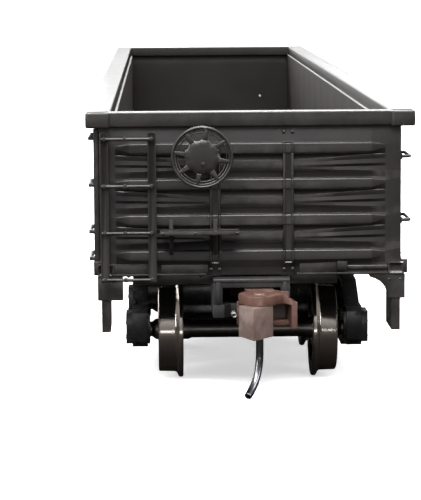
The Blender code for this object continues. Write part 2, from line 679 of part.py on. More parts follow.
def wheel(name, side, mat, parent):
    """Turned wheel: a coned tread, a flange on the inside, a dished plate and a hub on the axle."""
    tread = TREAD_DIAMETER / 2
    flange = tread + FLANGE_HEIGHT
    inside = BACK_TO_BACK / 2
    outside = inside + WHEEL_WIDTH
    bore = AXLE_DIAMETER / 2 + PRESS_GAP
    hub = AXLE_DIAMETER / 2 + 0.0009
    rim = tread - 0.0009
    profile = [(bore, outside - 0.0002), (hub, outside - 0.0002), (hub + 0.0002, outside - 0.0009),
               (rim - 0.0002, outside - 0.0007), (rim, outside), (tread - 0.0001, outside),
               (tread, inside + FLANGE_WIDTH + 0.0001), (flange, inside + 0.0003),
               (flange - 0.0001, inside), (rim, inside), (rim - 0.0002, inside + 0.0006),
               (hub, inside + 0.0006), (hub, inside + 0.0001), (bore, inside + 0.0001)]
    disc = turned(name + "_turned", profile, closed=True, segments=20)
    disc.rotation_euler = (0.0, side * pi / 2, 0.0)
    finished(disc, name, mat, parent)


def axle(name, mat, parent):
    tip = AXLE_LENGTH / 2
    radius = AXLE_DIAMETER / 2
    neck = tip - POINT_LENGTH
    shoulder = FRAME_INSIDE / 2 - 0.0002
    half = [(0.0, tip), (JOURNAL_RADIUS, neck), (JOURNAL_RADIUS, shoulder), (radius, shoulder - 0.0004)]
    profile = [*half, *[(r, -x) for r, x in reversed(half)]]
    shaft = turned(name + "_turned", profile, segments=16)
    shaft.rotation_euler = (0.0, pi / 2, 0.0)
    finished(shaft, name, mat, parent)


def truck(end, first_axle, black, nickel, steel):
    side = -1 if end == "b" else 1
    y = side * TRUCK_CENTRE
    swivel = pivot("truck_pivot_" + end, (0, y, 0))
    truck_bolster(f"truck_{end}_bolster", black, swivel)
    side_frame(f"truck_{end}_sideframe_left", -1, black, swivel)
    side_frame(f"truck_{end}_sideframe_right", 1, black, swivel)
    for i, place in enumerate((-WHEELBASE / 2, WHEELBASE / 2)):
        number = first_axle + i
        centre = pivot(f"wheelset_centre_{number}", (0, place, AXLE_HEIGHT), parent=swivel)
        axle(f"axle_{number}", steel, centre)
        wheel(f"wheel_{number}_left", -1, nickel, centre)
        wheel(f"wheel_{number}_right", 1, nickel, centre)
    seat = TRUCK_BOLSTER_BOTTOM - 0.0001 - RUNNING_GAP
    screw("king_screw_" + end, steel, KING_SCREW_DIAMETER, 0.0036, seat - 0.0009, seat,
          DECK_TOP - 0.0002, y)


# ---- Hand brake ----
def hand_brake(black):
    centre_x = -BRAKE_WHEEL_OFFSET
    centre_z = TOP_HEIGHT - BRAKE_WHEEL_DROP
    back = END_FACE + 0.00035 + 0.0001
    wheel_back = back + 0.0014
    shaft = BRAKE_SHAFT_DIAMETER / 2
    housing = boxes("housing", [((centre_x - 0.0013, -back - 0.0010, centre_z - 0.0015),
                                 (centre_x + 0.0013, -back, centre_z + 0.0013))])
    bore = cylinder("housing_bore", shaft + RUNNING_GAP, (centre_x, -back - 0.002, centre_z),
                    (centre_x, -back + 0.001, centre_z), 16)
    cut(housing, bore)
    finished(housing, "brake_housing", black)

    spindle = pivot("brake_wheel_axis", (centre_x, -wheel_back, centre_z))
    radius = BRAKE_WHEEL_DIAMETER / 2
    rim = 0.0002
    rim_profile = [(radius - 2 * rim, 0.0005), (radius, 0.0005), (radius, 0.0), (radius - 2 * rim, 0.0)]
    ring = turned("rim", rim_profile, closed=True, segments=32)
    hub = turned("hub", [(0.0, 0.00065), (0.0006, 0.0006), (0.0018, 0.0003), (0.0018, 0.0), (shaft, 0.0),
                         (shaft, -0.0013), (0.0, -0.0013)], segments=20)
    spoke_half = 0.00017
    for i in range(8):
        angle = pi / 4 * i + radians(10)
        spoke = boxes(f"spoke_{i}", [((0.0015, -spoke_half, 0.0001), (radius - rim, spoke_half, 0.0004))])
        spoke.rotation_euler = (0.0, 0.0, angle)
        add(ring, spoke)
    add(ring, hub)
    ring = as_mesh(ring)
    ring.data.transform(Matrix.Rotation(pi / 2, 4, "X"))
    finished(ring, "brake_wheel", black, spindle)


def brake_step(black):
    back = END_FACE + 0.00035 + SEAT_GAP
    top = TOP_HEIGHT - BRAKE_STEP_DROP
    left = -0.0097
    right = -0.0013
    step = boxes("step", [((left, -back - 0.0021, top - 0.0005), (right, -back, top))])
    for x in (left + 0.0012, END_POSTS[0]):
        outline = [(-back, top + 0.0010), (-back, top - 0.0028), (-back - 0.0003, top - 0.0028),
                   (-back - 0.0017, top - 0.0003), (-back - 0.0003, top - 0.0002),
                   (-back - 0.0003, top + 0.0010)]
        bracket = plate("step_bracket", outline, x - 0.00022, x + 0.00022, axis="X")
        add(step, bracket)
    finished(step, "brake_step", black)


# ---- Ladders, grab irons and stirrups ----
def rung_heights():
    low = SILL_BOTTOM - 0.0003
    high = CHORD_BOTTOM - 0.0012
    return [low + (high - low) * i / (RUNG_COUNT - 1) for i in range(RUNG_COUNT)]


def end_ladder(end, turn, black):
    half = SHEET_WIDTH / 2
    back = END_FACE + 0.0002
    bar = ROUND_BAR / 2
    inner = half - 0.00515
    outer = half - 0.0001
    stile_width = 0.0009
    foot = SILL_BOTTOM - 0.0006
    head = CHORD_BOTTOM - 0.0005
    stile = boxes("inner_stile", [((-inner, -back - 0.0005, foot), (-inner + stile_width, -back, head))])
    outer_stile = [((-outer, -back - 0.0005, foot), (-outer + stile_width, -back, head))]
    add(stile, boxes("outer_stile", outer_stile))
    for height in rung_heights():
        rung = boxes("rung", [((-outer + 0.0002, -back - 0.0009, height - bar),
                               (-inner + 0.0006, -back - 0.0004, height + bar))])
        add(stile, rung)
    finished(stile, "end_ladder_" + end, black, turn=turn)


def side_ladder(end, turn, black):
    """Ladder on the side next to the end ladder: two stiles and the same rung heights."""
    face = SHEET_WIDTH / 2 + SEAT_GAP
    outer = face + 0.00115
    bar = ROUND_BAR / 2
    near = END_FACE - 0.0008
    far = near - 0.0056
    above = SILL_BOTTOM + SIDE_SILL_DEPTH + SEAT_GAP
    heights = rung_heights()
    stile_top = CHORD_BOTTOM - SEAT_GAP - 0.0002
    stiles = [((-face - 0.0006, -y - 0.0007, above), (-face, -y, stile_top)) for y in (near - 0.0007, far)]
    ladder = boxes("side_stile", stiles[:1])
    add(ladder, boxes("side_stile_far", stiles[1:]))
    for i, height in enumerate(heights):
        height = max(height, above + bar + 0.0001) if i == 0 else height
        rung = boxes("side_rung", [((-outer, -near, height - bar), (-face - 0.0004, -far, height + bar))])
        add(ladder, rung)
    finished(ladder, "side_ladder_" + end, black, turn=turn)


def grab_irons(end, turn, black):
    face = SHEET_WIDTH / 2 + SEAT_GAP
    outer = face + 0.0012
    bar = ROUND_BAR / 2
    low = SILL_BOTTOM + 0.0057
    high = CHORD_BOTTOM - 0.0034
    near = END_FACE - 0.0009
    far = near - 0.0056
    for i in range(GRAB_COUNT):
        height = low + (high - low) * i / (GRAB_COUNT - 1)
        bends = [(face, -near + bar, height), (outer - bar, -near + bar, height),
                 (outer - bar, -far - bar, height), (face, -far - bar, height)]
        grab = wire("grab", bends, bar)
        finished(grab, f"side_grab_{end}_{i + 1}", black, turn=turn)


def stirrups(end, turn, black):
    """Corner steps under the body: a square pad at the ladder corner and a curved gusset at the other."""
    half = SHEET_WIDTH / 2
    top = SILL_BOTTOM - SEAT_GAP
    front = END_FACE - 0.0002
    leg_bottom = SILL_BOTTOM - 0.0061
    pad_height = 0.0026
    outer = half - 0.0001
    inner = outer - 0.00095
    bar = 0.0009
    tread_top = leg_bottom + 0.0007
    near = -front + bar
    far = near + 0.0038
    legs = [(-front, top), (-front, leg_bottom), (far + bar, leg_bottom), (far + bar, top), (far, top),
            (far, tread_top), (near, tread_top), (near, top)]
    for side, name in ((-1, "ladder"), (1, "grab")):
        low, high = sorted((side * outer, side * inner))
        step = plate("step_legs", legs, low, high, axis="X")
        if side < 0:
            pad = boxes("jacking_pad", [((-half - 0.0003, -front - 0.0001, top - pad_height),
                                         (-half + 0.0024, -front + 0.0010, top))])
        else:
            curve = 0.0023
            web = [(half + 0.0004, top), (half - 0.0024 - curve / 2, top),
                   *arc((half - 0.0014 - curve, top - pad_height), curve, 80, 0, 6),
                   (half + 0.0004, top - pad_height)]
            pad = plate("gusset", web, -front - 0.0001, -front + 0.0010, axis="Y")
        add(step, pad)
        finished(step, f"stirrup_{end}_{name}", black, turn=turn)


# ---- Air brake gear under the floor ----
def air_brake(black):
    hang = DECK_BOTTOM - SEAT_GAP
    cylinder_radius = 0.0018
    x = 0.0080
    z = hang - cylinder_radius - 0.0003
    body = cylinder("cylinder_body", cylinder_radius, (x, -0.0135, z), (x, -0.0065, z), 20)
    bracket = boxes("cylinder_bracket", [((x - 0.0012, -0.0115, hang - 0.0012),
                                          (x + 0.0012, -0.0085, hang))])
    rod = cylinder("piston_rod", 0.0003, (x, LEVER_PLACE + SEAT_GAP, z), (x, -0.0134, z), 8)
    add(body, bracket, rod)
    finished(body, "brake_cylinder", black)

    radius = 0.0022
    drop = hang - radius - 0.0003
    tank = turned("tank", [(0.0, 0.0064), (0.0012, 0.0062), (0.0019, 0.0055), (radius, 0.0046),
                           (radius, -0.0046),
                           (0.0019, -0.0055), (0.0012, -0.0062), (0.0, -0.0064)], segments=20)
    tank.rotation_euler = (pi / 2, 0.0, 0.0)
    tank.location = (-0.0085, 0.0075, drop)
    straps = boxes("tank_brackets", [((-0.0100, y - 0.0005, hang - 0.0014), (-0.0070, y + 0.0005, hang))
                                     for y in (0.0045, 0.0105)])
    add(tank, straps)
    finished(tank, "air_reservoir", black)

    valve = boxes("valve_body", [((-0.0110, -0.0100, hang - 0.0030), (-0.0080, -0.0060, hang))])
    bowl = cylinder("valve_bowl", 0.0011, (-0.0095, -0.0080, hang - 0.0042),
                    (-0.0095, -0.0080, hang - 0.0029), 16)
    port_z = hang - 0.0015
    branch = cylinder("valve_port", 0.0008, (-0.0095, -0.0112, port_z), (-0.0095, -0.0099, port_z), 12)
    add(valve, bowl, branch)
    finished(valve, "control_valve", black)

    reach = TRUCK_CENTRE - 0.0165
    rod_x = 0.0042
    rod_z = DECK_BOTTOM - 0.00155 - 0.0004
    rod = wire("rod", [(rod_x, -reach, rod_z), (rod_x, reach, rod_z)], 0.00025)
    lever = boxes("rod_lever", [((rod_x - 0.0002, LEVER_PLACE - 0.0005, rod_z - 0.00035),
                                (0.0085, LEVER_PLACE, rod_z + 0.00015))])
    add(rod, lever)
    hanger_y = TRUCK_CENTRE / 2
    for y in (-hanger_y, hanger_y):
        hanger = boxes("rod_hanger", [((rod_x - 0.0003, y - 0.0003, rod_z),
                                       (rod_x + 0.0003, y + 0.0003, hang))])
        add(rod, hanger)
    finished(rod, "brake_rod", black)


def build():
    start()
    body_black = material("body_black", (0.018, 0.017, 0.017), 0.42)
    frame_black = material("frame_black", (0.012, 0.012, 0.013), 0.35)
    coupler_brown = material("coupler_brown", (0.16, 0.085, 0.065), 0.45)
    nickel = material("wheel_nickel", (0.72, 0.69, 0.65), 0.18, 1.0)
    steel = material("steel", (0.35, 0.34, 0.33), 0.3, 1.0)

    body_shell(body_black)
    floor_and_weight(body_black, steel)
    underframe(frame_black)
    for end, turn, rest_turn in (("b", 0.0, COUPLER_REST_TURN), ("a", pi, 0.0)):
        draft_gear(end, turn, frame_black, steel)
        couplers(end, turn, rest_turn, coupler_brown, steel)
        end_ladder(end, turn, body_black)
        side_ladder(end, turn, body_black)
        grab_irons(end, turn, body_black)
        stirrups(end, turn, body_black)
    truck("b", 1, frame_black, nickel, steel)
    truck("a", 3, frame_black, nickel, steel)
    hand_brake(body_black)
    brake_step(body_black)
    air_brake(frame_black)


build()
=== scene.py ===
"""Looks of the model gondola car: moulded black body, trucks, wheels, couplers and hand brake.

Everything is in metres and in the frame's own axes: +Z up, the car along Y with the brake end at -Y.
Details of the body's ends are modelled at -Y, and copied for the other end, turned half round about Z.
"""

import json
from math import atan2, cos, hypot, pi, radians, sin

import bpy
from mathutils import Matrix, Vector


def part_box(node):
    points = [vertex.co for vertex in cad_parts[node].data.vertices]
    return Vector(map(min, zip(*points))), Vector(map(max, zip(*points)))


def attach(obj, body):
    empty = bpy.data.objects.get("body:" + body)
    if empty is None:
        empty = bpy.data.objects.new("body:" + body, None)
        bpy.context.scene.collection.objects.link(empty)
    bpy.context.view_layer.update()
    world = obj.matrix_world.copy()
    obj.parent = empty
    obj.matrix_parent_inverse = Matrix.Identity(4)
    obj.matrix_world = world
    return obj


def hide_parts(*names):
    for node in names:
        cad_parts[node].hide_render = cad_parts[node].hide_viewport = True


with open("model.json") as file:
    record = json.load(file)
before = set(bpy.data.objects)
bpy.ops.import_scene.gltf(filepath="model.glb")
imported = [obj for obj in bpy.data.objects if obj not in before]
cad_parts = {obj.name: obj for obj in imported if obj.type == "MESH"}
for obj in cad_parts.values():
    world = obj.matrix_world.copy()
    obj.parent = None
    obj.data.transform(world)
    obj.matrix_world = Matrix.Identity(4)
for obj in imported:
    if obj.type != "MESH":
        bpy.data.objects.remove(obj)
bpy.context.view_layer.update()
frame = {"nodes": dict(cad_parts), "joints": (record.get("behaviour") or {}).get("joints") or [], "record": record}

MM = 0.001
WELD = 0.0000005             # points closer than this are one
GAP = 0.03 * MM              # between pieces that are fixed side by side
LOW_BREAK = 12.0             # degrees: rounds the shallow breaks of a pressed sheet too

# ---- Places taken from the frame ----
SHELL_LOW, SHELL_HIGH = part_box("body_shell")
FLOOR_LOW, FLOOR_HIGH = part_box("load_floor")
TOP = SHELL_HIGH.z
BOTTOM = SHELL_LOW.z
CHORD_HALF = SHELL_HIGH.x
INSIDE_HALF = FLOOR_HIGH.x + GAP
INSIDE_END = FLOOR_HIGH.y + GAP
CORNER_FACE = SHELL_HIGH.y

# ---- Body sizes ----
CORNER_PROUD = 0.4 * MM      # chord corner in front of the end chord's face
END_FACE = CORNER_FACE - CORNER_PROUD
END_SHEET = END_FACE - 0.45 * MM
SIDE_SHEET = CHORD_HALF - 1.4 * MM
CHORD_DEPTH = 1.58 * MM
CHORD_BOTTOM = TOP - CHORD_DEPTH
SIDE_CHORD = 2.65 * MM
END_CHORD = 2.2 * MM
SIDE_SILL_DEPTH = 1.5 * MM
SIDE_POST_DEPTH = 0.65 * MM
SIDE_POST_WIDTH = 1.1 * MM
SIDE_POST_PITCH = 12.7 * MM
SIDE_POST_MARGIN = 8.5 * MM
RIB_COUNT = 4
TOP_RIB_DROP = 2.8 * MM      # lower edge of the highest rib's face below the top chord
LOW_RIB_LIFT = 1.64 * MM     # lower edge of the lowest rib's face above the bottom of the body
END_POSTS = (-3.8 * MM, 4.0 * MM)


# ---- Modelling helpers ----
def fresh():
    """Leave nothing selected, as operators act on everything that is."""
    for obj in bpy.context.selected_objects:
        obj.select_set(False)


def only(obj):
    fresh()
    obj.select_set(True)
    bpy.context.view_layer.objects.active = obj


def settle(obj):
    """Put the object's place, turn and size into its mesh."""
    only(obj)
    bpy.ops.object.transform_apply(location=True, rotation=True, scale=True)
    return obj


def new_piece(name):
    obj = bpy.context.object
    obj.name = name
    obj.data.name = name
    return settle(obj)


def block(name, corner, opposite):
    """A cuboid between two opposite corners."""
    low = Vector([min(pair) for pair in zip(corner, opposite)])
    high = Vector([max(pair) for pair in zip(corner, opposite)])
    fresh()
    bpy.ops.mesh.primitive_cube_add(size=1.0, location=(low + high) / 2, scale=high - low)
    return new_piece(name)


def soft_block(name, corner, opposite, width, segments=2):
    """A cuboid with rounded edges."""
    return soften(block(name, corner, opposite), width, segments)


def rod(name, start, end, radius, sides=24):
    start = Vector(start)
    span = Vector(end) - start
    fresh()
    bpy.ops.mesh.primitive_cylinder_add(vertices=sides, radius=radius, depth=span.length,
                                        location=start + span / 2,
                                        rotation=span.to_track_quat("Z", "Y").to_euler())
    return new_piece(name)


def soft_rod(name, start, end, radius, sides, width):
    """A round bar with rounded edges."""
    return soften(rod(name, start, end, radius, sides), width)


def ring(name, centre, radius, thickness, steps, sides):
    """A torus that faces along the car."""
    fresh()
    bpy.ops.mesh.primitive_torus_add(major_segments=steps, minor_segments=sides, major_radius=radius,
                                     minor_radius=thickness, location=centre, rotation=(pi / 2, 0, 0))
    return new_piece(name)


def edit_with(obj, kind, wanted):
    """Open edit mode with only the wanted faces, edges or vertices selected."""
    only(obj)
    bpy.ops.object.mode_set(mode="EDIT")
    bpy.ops.mesh.select_mode(type=kind)
    bpy.ops.mesh.select_all(action="DESELECT")
    bpy.ops.object.mode_set(mode="OBJECT")
    mesh = obj.data
    items = {"FACE": mesh.polygons, "EDGE": mesh.edges, "VERT": mesh.vertices}[kind]
    for item in items:
        item.select = bool(wanted(item))
    bpy.ops.object.mode_set(mode="EDIT")


def edit_all(obj):
    only(obj)
    bpy.ops.object.mode_set(mode="EDIT")
    bpy.ops.mesh.select_mode(type="VERT")
    bpy.ops.mesh.select_all(action="SELECT")


def close_edit():
    bpy.ops.object.mode_set(mode="OBJECT")


def facing(direction):
    """Test for faces whose normal points along a direction."""
    direction = Vector(direction)
    return lambda face: face.normal.dot(direction) > 0.9


def sink(obj, direction, border, depth, each=False):
    """Press in the faces that look along a direction, inside a border round all of them or round each."""
    edit_with(obj, "FACE", facing(direction))
    bpy.ops.mesh.inset(thickness=border, depth=0.0, use_individual=each)
    bpy.ops.transform.translate(value=Vector(direction) * -depth)
    close_edit()


def is_along(obj, edge, axis):
    """Whether an edge runs along an axis."""
    a, b = (obj.data.vertices[i].co for i in edge.vertices)
    span = b - a
    return abs(span["XYZ".index(axis)]) > 0.99 * span.length


def round_along(obj, axis, width, segments):
    """Round the edges that run along an axis."""
    edit_with(obj, "EDGE", lambda edge: is_along(obj, edge, axis))
    bpy.ops.mesh.bevel(offset=width, segments=segments)
    close_edit()


def cut_across(obj, places):
    """Cut the faces in line with each place along the car."""
    for y in places:
        edit_all(obj)
        bpy.ops.mesh.bisect(plane_co=(0, y, 0), plane_no=(0, 1, 0))
        close_edit()


def outwards(obj):
    """Weld doubled points and turn every face outwards."""
    edit_all(obj)
    bpy.ops.mesh.remove_doubles(threshold=WELD)
    bpy.ops.mesh.normals_make_consistent(inside=False)
    close_edit()
    return obj


def apply_modifier(obj, modifier):
    only(obj)
    bpy.ops.object.modifier_apply(modifier=modifier.name)
    return obj


def soften(obj, width, segments=2, angle=28.0):
    """Round the sharp edges, as a mould does, and shade the rest smooth."""
    bevel = obj.modifiers.new("rounded edges", "BEVEL")
    bevel.width = width
    bevel.segments = segments
    bevel.limit_method = "ANGLE"
    bevel.angle_limit = radians(angle)
    bevel.use_clamp_overlap = True
    bevel.miter_outer = "MITER_ARC"
    bevel.harden_normals = False
    apply_modifier(obj, bevel)
    edit_all(obj)
    bpy.ops.mesh.dissolve_degenerate(threshold=0.0000002)
    close_edit()
    return smooth(obj)


def smooth(obj, angle=40.0):
    only(obj)
    bpy.ops.object.shade_smooth_by_angle(angle=radians(angle))
    return obj


def carve(obj, tool):
    """Cut a tool's shape out of a piece."""
    boolean = obj.modifiers.new("shaping", "BOOLEAN")
    boolean.operation = "DIFFERENCE"
    boolean.solver = "EXACT"
    boolean.object = tool
    apply_modifier(obj, boolean)
    bpy.data.objects.remove(tool)


def joined(name, pieces):
    pieces = list(pieces)
    only(pieces[0])
    for piece in pieces[1:]:
        piece.select_set(True)
    if len(pieces) > 1:
        bpy.ops.object.join()
    obj = bpy.context.object
    obj.name = name
    obj.data.name = name
    return obj


def copy_of(obj, name, place=None):
    """A copy with its own mesh, moved by a matrix."""
    twin = obj.copy()
    twin.data = obj.data.copy()
    bpy.context.scene.collection.objects.link(twin)
    twin.name = name
    twin.data.name = name
    if place is not None:
        twin.data.transform(place)
        if place.is_negative:
            twin.data.flip_normals()
    return twin


def moved(x=0.0, y=0.0, z=0.0):
    return Matrix.Translation((x, y, z))


HALF_TURN = Matrix.Rotation(pi, 4, "Z")
MIRROR_X = Matrix.Diagonal((-1.0, 1.0, 1.0, 1.0))


def drawn(name, points):
    """A line of edges drawn by extruding one point to the next."""
    points = [Vector(point) for point in points]
    fresh()
    bpy.ops.mesh.primitive_plane_add(size=MM, location=points[0])
    bpy.ops.object.mode_set(mode="EDIT")
    bpy.ops.mesh.select_mode(type="VERT")
    bpy.ops.mesh.merge(type="CENTER")
    for here, there in zip(points, points[1:]):
        bpy.ops.mesh.extrude_vertices_move(TRANSFORM_OT_translate={"value": there - here})
    close_edit()
    return new_piece(name)


def plate(name, outline, push):
    """A closed outline filled and pushed into a plate along a vector."""
    obj = drawn(name, outline)
    edit_all(obj)
    bpy.ops.mesh.edge_face_add()
    bpy.ops.mesh.extrude_region_move(TRANSFORM_OT_translate={"value": push})
    close_edit()
    return outwards(obj)


def lathe(name, profile, centre, axis, steps=48):
    """Spin a line of (distance from the axis, place along it) points once round the axis."""
    centre = Vector(centre)
    axis = Vector(axis).normalized()
    side = axis.orthogonal().normalized()
    obj = drawn(name, [centre + side * radius + axis * place for radius, place in profile])
    edit_all(obj)
    bpy.ops.mesh.spin(steps=steps, angle=2 * pi, center=centre, axis=axis)
    close_edit()
    return outwards(obj)


def bent_rod(name, points, radius, bend=0.0, closed=False):
    """A round bar along a line of points, with its corners rounded by the bend."""
    line = drawn(name, points)
    if closed:
        edit_all(line)
        bpy.ops.mesh.edge_face_add()
        bpy.ops.mesh.delete(type="ONLY_FACE")
        close_edit()
    if bend:
        corners = [Vector(point) for point in (points if closed else points[1:-1])]
        edit_with(line, "VERT", lambda v: any((v.co - corner).length < 0.001 * MM for corner in corners))
        bpy.ops.mesh.bevel(offset=bend, segments=5, affect="VERTICES", clamp_overlap=True)
        close_edit()
    only(line)
    bpy.ops.object.convert(target="CURVE")
    curve = bpy.context.object.data
    curve.bevel_depth = radius
    curve.bevel_resolution = 3
    curve.use_fill_caps = True
    bpy.ops.object.convert(target="MESH")
    obj = bpy.context.object
    obj.name = name
    obj.data.name = name
    return smooth(outwards(obj))


def dome(name, place, radius, height, direction):
    """A rivet head: a low dome that faces along a direction."""
    direction = Vector(direction)
    fresh()
    bpy.ops.mesh.primitive_uv_sphere_add(segments=10, ring_count=6, radius=radius, location=(0, 0, 0))
    obj = new_piece(name)
    edit_with(obj, "VERT", lambda v: v.co.z < -radius * 0.1)
    bpy.ops.mesh.delete(type="VERT")
    bpy.ops.mesh.select_all(action="SELECT")
    bpy.ops.transform.resize(value=(1.0, 1.0, height / radius), center_override=(0, 0, 0))
    bpy.ops.mesh.select_all(action="DESELECT")
    bpy.ops.mesh.select_mode(type="EDGE")
    bpy.ops.mesh.select_non_manifold()
    bpy.ops.mesh.edge_face_add()
    close_edit()
    turn = direction.to_track_quat("Z", "Y").to_matrix().to_4x4()
    obj.data.transform(Matrix.Translation(place) @ turn)
    return smooth(obj, 50)


def dotted(name, head, places):
    """Copies of one small piece, modelled at the origin, at many places, as one mesh."""
    pieces = [copy_of(head, f"{name}_{i}", Matrix.Translation(place)) for i, place in enumerate(places)]
    bpy.data.objects.remove(head)
    return joined(name, pieces)


def from_node(name, node, width, segments=2, angle=28.0):
    """A copy of a CAD node with its triangles merged into faces and its edges rounded."""
    obj = copy_of(frame["nodes"][node], name)
    obj.parent = None
    obj.hide_render = False
    obj.hide_viewport = False
    for key in list(obj.keys()):
        del obj[key]
    obj.data.materials.clear()
    edit_all(obj)
    bpy.ops.mesh.remove_doubles(threshold=0.000001)
    bpy.ops.mesh.dissolve_limited(angle_limit=radians(1.0))
    close_edit()
    if width:
        soften(obj, width, segments, angle)
    return obj


# ---- Material effects, each a node group used by several materials ----
def effect(name, inputs, outputs):
    """An empty node group, with the nodes that bring its inputs and take its outputs."""
    group = bpy.data.node_groups.new(name, "ShaderNodeTree")
    for label, kind, value in inputs:
        socket = group.interface.new_socket(label, in_out="INPUT", socket_type=kind)
        if value is not None:
            socket.default_value = value
    for label, kind in outputs:
        group.interface.new_socket(label, in_out="OUTPUT", socket_type=kind)
    source = group.nodes.new("NodeGroupInput")
    target = group.nodes.new("NodeGroupOutput")
    return group, source, target


def node(tree, kind, **settings):
    made = tree.nodes.new(kind)
    for key, value in settings.items():
        setattr(made, key, value)
    return made


def sums(tree, operation, *operands, clamp=False):
    """A Math node; each operand is a number or a socket."""
    made = node(tree, "ShaderNodeMath", operation=operation, use_clamp=clamp)
    for i, value in enumerate(operands):
        if isinstance(value, (int, float)):
            made.inputs[i].default_value = value
        else:
            tree.links.new(value, made.inputs[i])
    return made.outputs[0]


def noise(tree, place, scale, detail=3.0, roughness=0.55):
    made = node(tree, "ShaderNodeTexNoise")
    made.inputs["Detail"].default_value = detail
    made.inputs["Roughness"].default_value = roughness
    tree.links.new(place, made.inputs["Vector"])
    if isinstance(scale, (int, float)):
        made.inputs["Scale"].default_value = scale
    else:
        tree.links.new(scale, made.inputs["Scale"])
    return made.outputs["Fac"]


def spread(tree, value, low, high, to_low=0.0, to_high=1.0):
    made = node(tree, "ShaderNodeMapRange", clamp=True)
    tree.links.new(value, made.inputs["Value"])
    for label, number in (("From Min", low), ("From Max", high), ("To Min", to_low), ("To Max", to_high)):
        made.inputs[label].default_value = number
    return made.outputs["Result"]


def grain_effect():
    """Moulded plastic's skin: fine pebbling, faint flow marks, and patches that are duller or glossier."""
    group, source, target = effect(
        "moulding grain",
        [("Place", "NodeSocketVector", None), ("Pebble Scale", "NodeSocketFloat", 9000.0),
         ("Patch Scale", "NodeSocketFloat", 160.0), ("Patch Depth", "NodeSocketFloat", 0.12)],
        [("Height", "NodeSocketFloat"), ("Roughness Shift", "NodeSocketFloat"), ("Shade", "NodeSocketFloat")])
    place = source.outputs["Place"]
    pebbles = noise(group, place, source.outputs["Pebble Scale"], 2.0)
    stretched = node(group, "ShaderNodeMapping")
    stretched.inputs["Scale"].default_value = (1.0, 0.25, 1.6)
    group.links.new(place, stretched.inputs["Vector"])
    patches = noise(group, stretched.outputs["Vector"], source.outputs["Patch Scale"], 5.0, 0.62)
    fine = noise(group, place, 2600.0, 4.0, 0.6)
    height = sums(group, "ADD", pebbles, sums(group, "MULTIPLY", patches, 0.8))
    shift = sums(group, "MULTIPLY", sums(group, "SUBTRACT", patches, 0.5), source.outputs["Patch Depth"])
    shade = sums(group, "ADD", sums(group, "MULTIPLY", patches, 0.6), sums(group, "MULTIPLY", fine, 0.4))
    group.links.new(height, target.inputs["Height"])
    group.links.new(shift, target.inputs["Roughness Shift"])
    group.links.new(shade, target.inputs["Shade"])
    return group


def wear_and_highlight_effect():
    """Where handling has worn the raised edges, lightened also as a painted edge highlight: a mask broken up by
    noise.
    """
    # The mask lightens raised edges: partly real handling marks, partly painted highlight along the edges.
    group, source, target = effect(
        "rubbed edges",
        [("Place", "NodeSocketVector", None), ("Reach", "NodeSocketFloat", 0.5)],
        [("Mask", "NodeSocketFloat")])
    shape = node(group, "ShaderNodeNewGeometry")
    raised = spread(group, shape.outputs["Pointiness"], 0.508, 0.60)
    broken = spread(group, noise(group, source.outputs["Place"], 420.0, 6.0, 0.65), 0.38, 0.66)
    mask = sums(group, "MULTIPLY", sums(group, "MULTIPLY", raised, broken), source.outputs["Reach"],
                clamp=True)
    group.links.new(mask, target.inputs["Mask"])
    return group


def dust_effect():
    """A few settled specks and a thin film on faces that look up."""
    group, source, target = effect(
        "settled dust",
        [("Place", "NodeSocketVector", None), ("Speck Scale", "NodeSocketFloat", 420.0),
         ("Amount", "NodeSocketFloat", 1.0)],
        [("Mask", "NodeSocketFloat"), ("Film", "NodeSocketFloat")])
    place = source.outputs["Place"]
    cells = node(group, "ShaderNodeTexVoronoi", feature="F1")
    group.links.new(place, cells.inputs["Vector"])
    group.links.new(source.outputs["Speck Scale"], cells.inputs["Scale"])
    speck = spread(group, cells.outputs["Distance"], 0.05, 0.11, 1.0, 0.0)
    chosen = node(group, "ShaderNodeSeparateColor")
    group.links.new(cells.outputs["Color"], chosen.inputs["Color"])
    rare = spread(group, chosen.outputs["Red"], 0.93, 0.94)
    mask = sums(group, "MULTIPLY", sums(group, "MULTIPLY", speck, rare), source.outputs["Amount"], clamp=True)
    shape = node(group, "ShaderNodeNewGeometry")
    facing_parts = node(group, "ShaderNodeSeparateXYZ")
    group.links.new(shape.outputs["Normal"], facing_parts.inputs["Vector"])
    up = spread(group, facing_parts.outputs["Z"], 0.4, 0.95)
    film = sums(group, "MULTIPLY", up, spread(group, noise(group, place, 900.0, 5.0, 0.7), 0.35, 0.75))
    film = sums(group, "MULTIPLY", film, source.outputs["Amount"], clamp=True)
    group.links.new(mask, target.inputs["Mask"])
    group.links.new(film, target.inputs["Film"])
    return group


GRAIN = grain_effect()
WEAR_AND_HIGHLIGHT = wear_and_highlight_effect()
DUST = dust_effect()


# ---- Materials ----
def use_effect(tree, group, place, **values):
    made = node(tree, "ShaderNodeGroup", node_tree=group)
    tree.links.new(place, made.inputs["Place"])
    for label, value in values.items():
        made.inputs[label.replace("_", " ")].default_value = value
    return made.outputs


def blended(tree, factor, first, second):
    """Mix two colours; each is a colour or a socket."""
    made = node(tree, "ShaderNodeMix", data_type="RGBA")
    tree.links.new(factor, made.inputs["Factor"])
    for label, colour in (("A", first), ("B", second)):
        socket = [s for s in made.inputs if s.name == label and s.type == "RGBA"][0]
        if isinstance(colour, tuple):
            socket.default_value = (*colour, 1.0)
        else:
            tree.links.new(colour, socket)
    return [s for s in made.outputs if s.type == "RGBA"][0]


def start_material(name):
    mat = bpy.data.materials.new(name)
    mat.use_nodes = True
    tree = mat.node_tree
    shader = tree.nodes["Principled BSDF"]
    place = node(tree, "ShaderNodeTexCoord").outputs["Object"]
    return mat, tree, shader, place


def bumped(tree, shader, height, distance, strength=1.0):
    bump = node(tree, "ShaderNodeBump")
    bump.inputs["Distance"].default_value = distance
    bump.inputs["Strength"].default_value = strength
    tree.links.new(height, bump.inputs["Height"])
    tree.links.new(bump.outputs["Normal"], shader.inputs["Normal"])


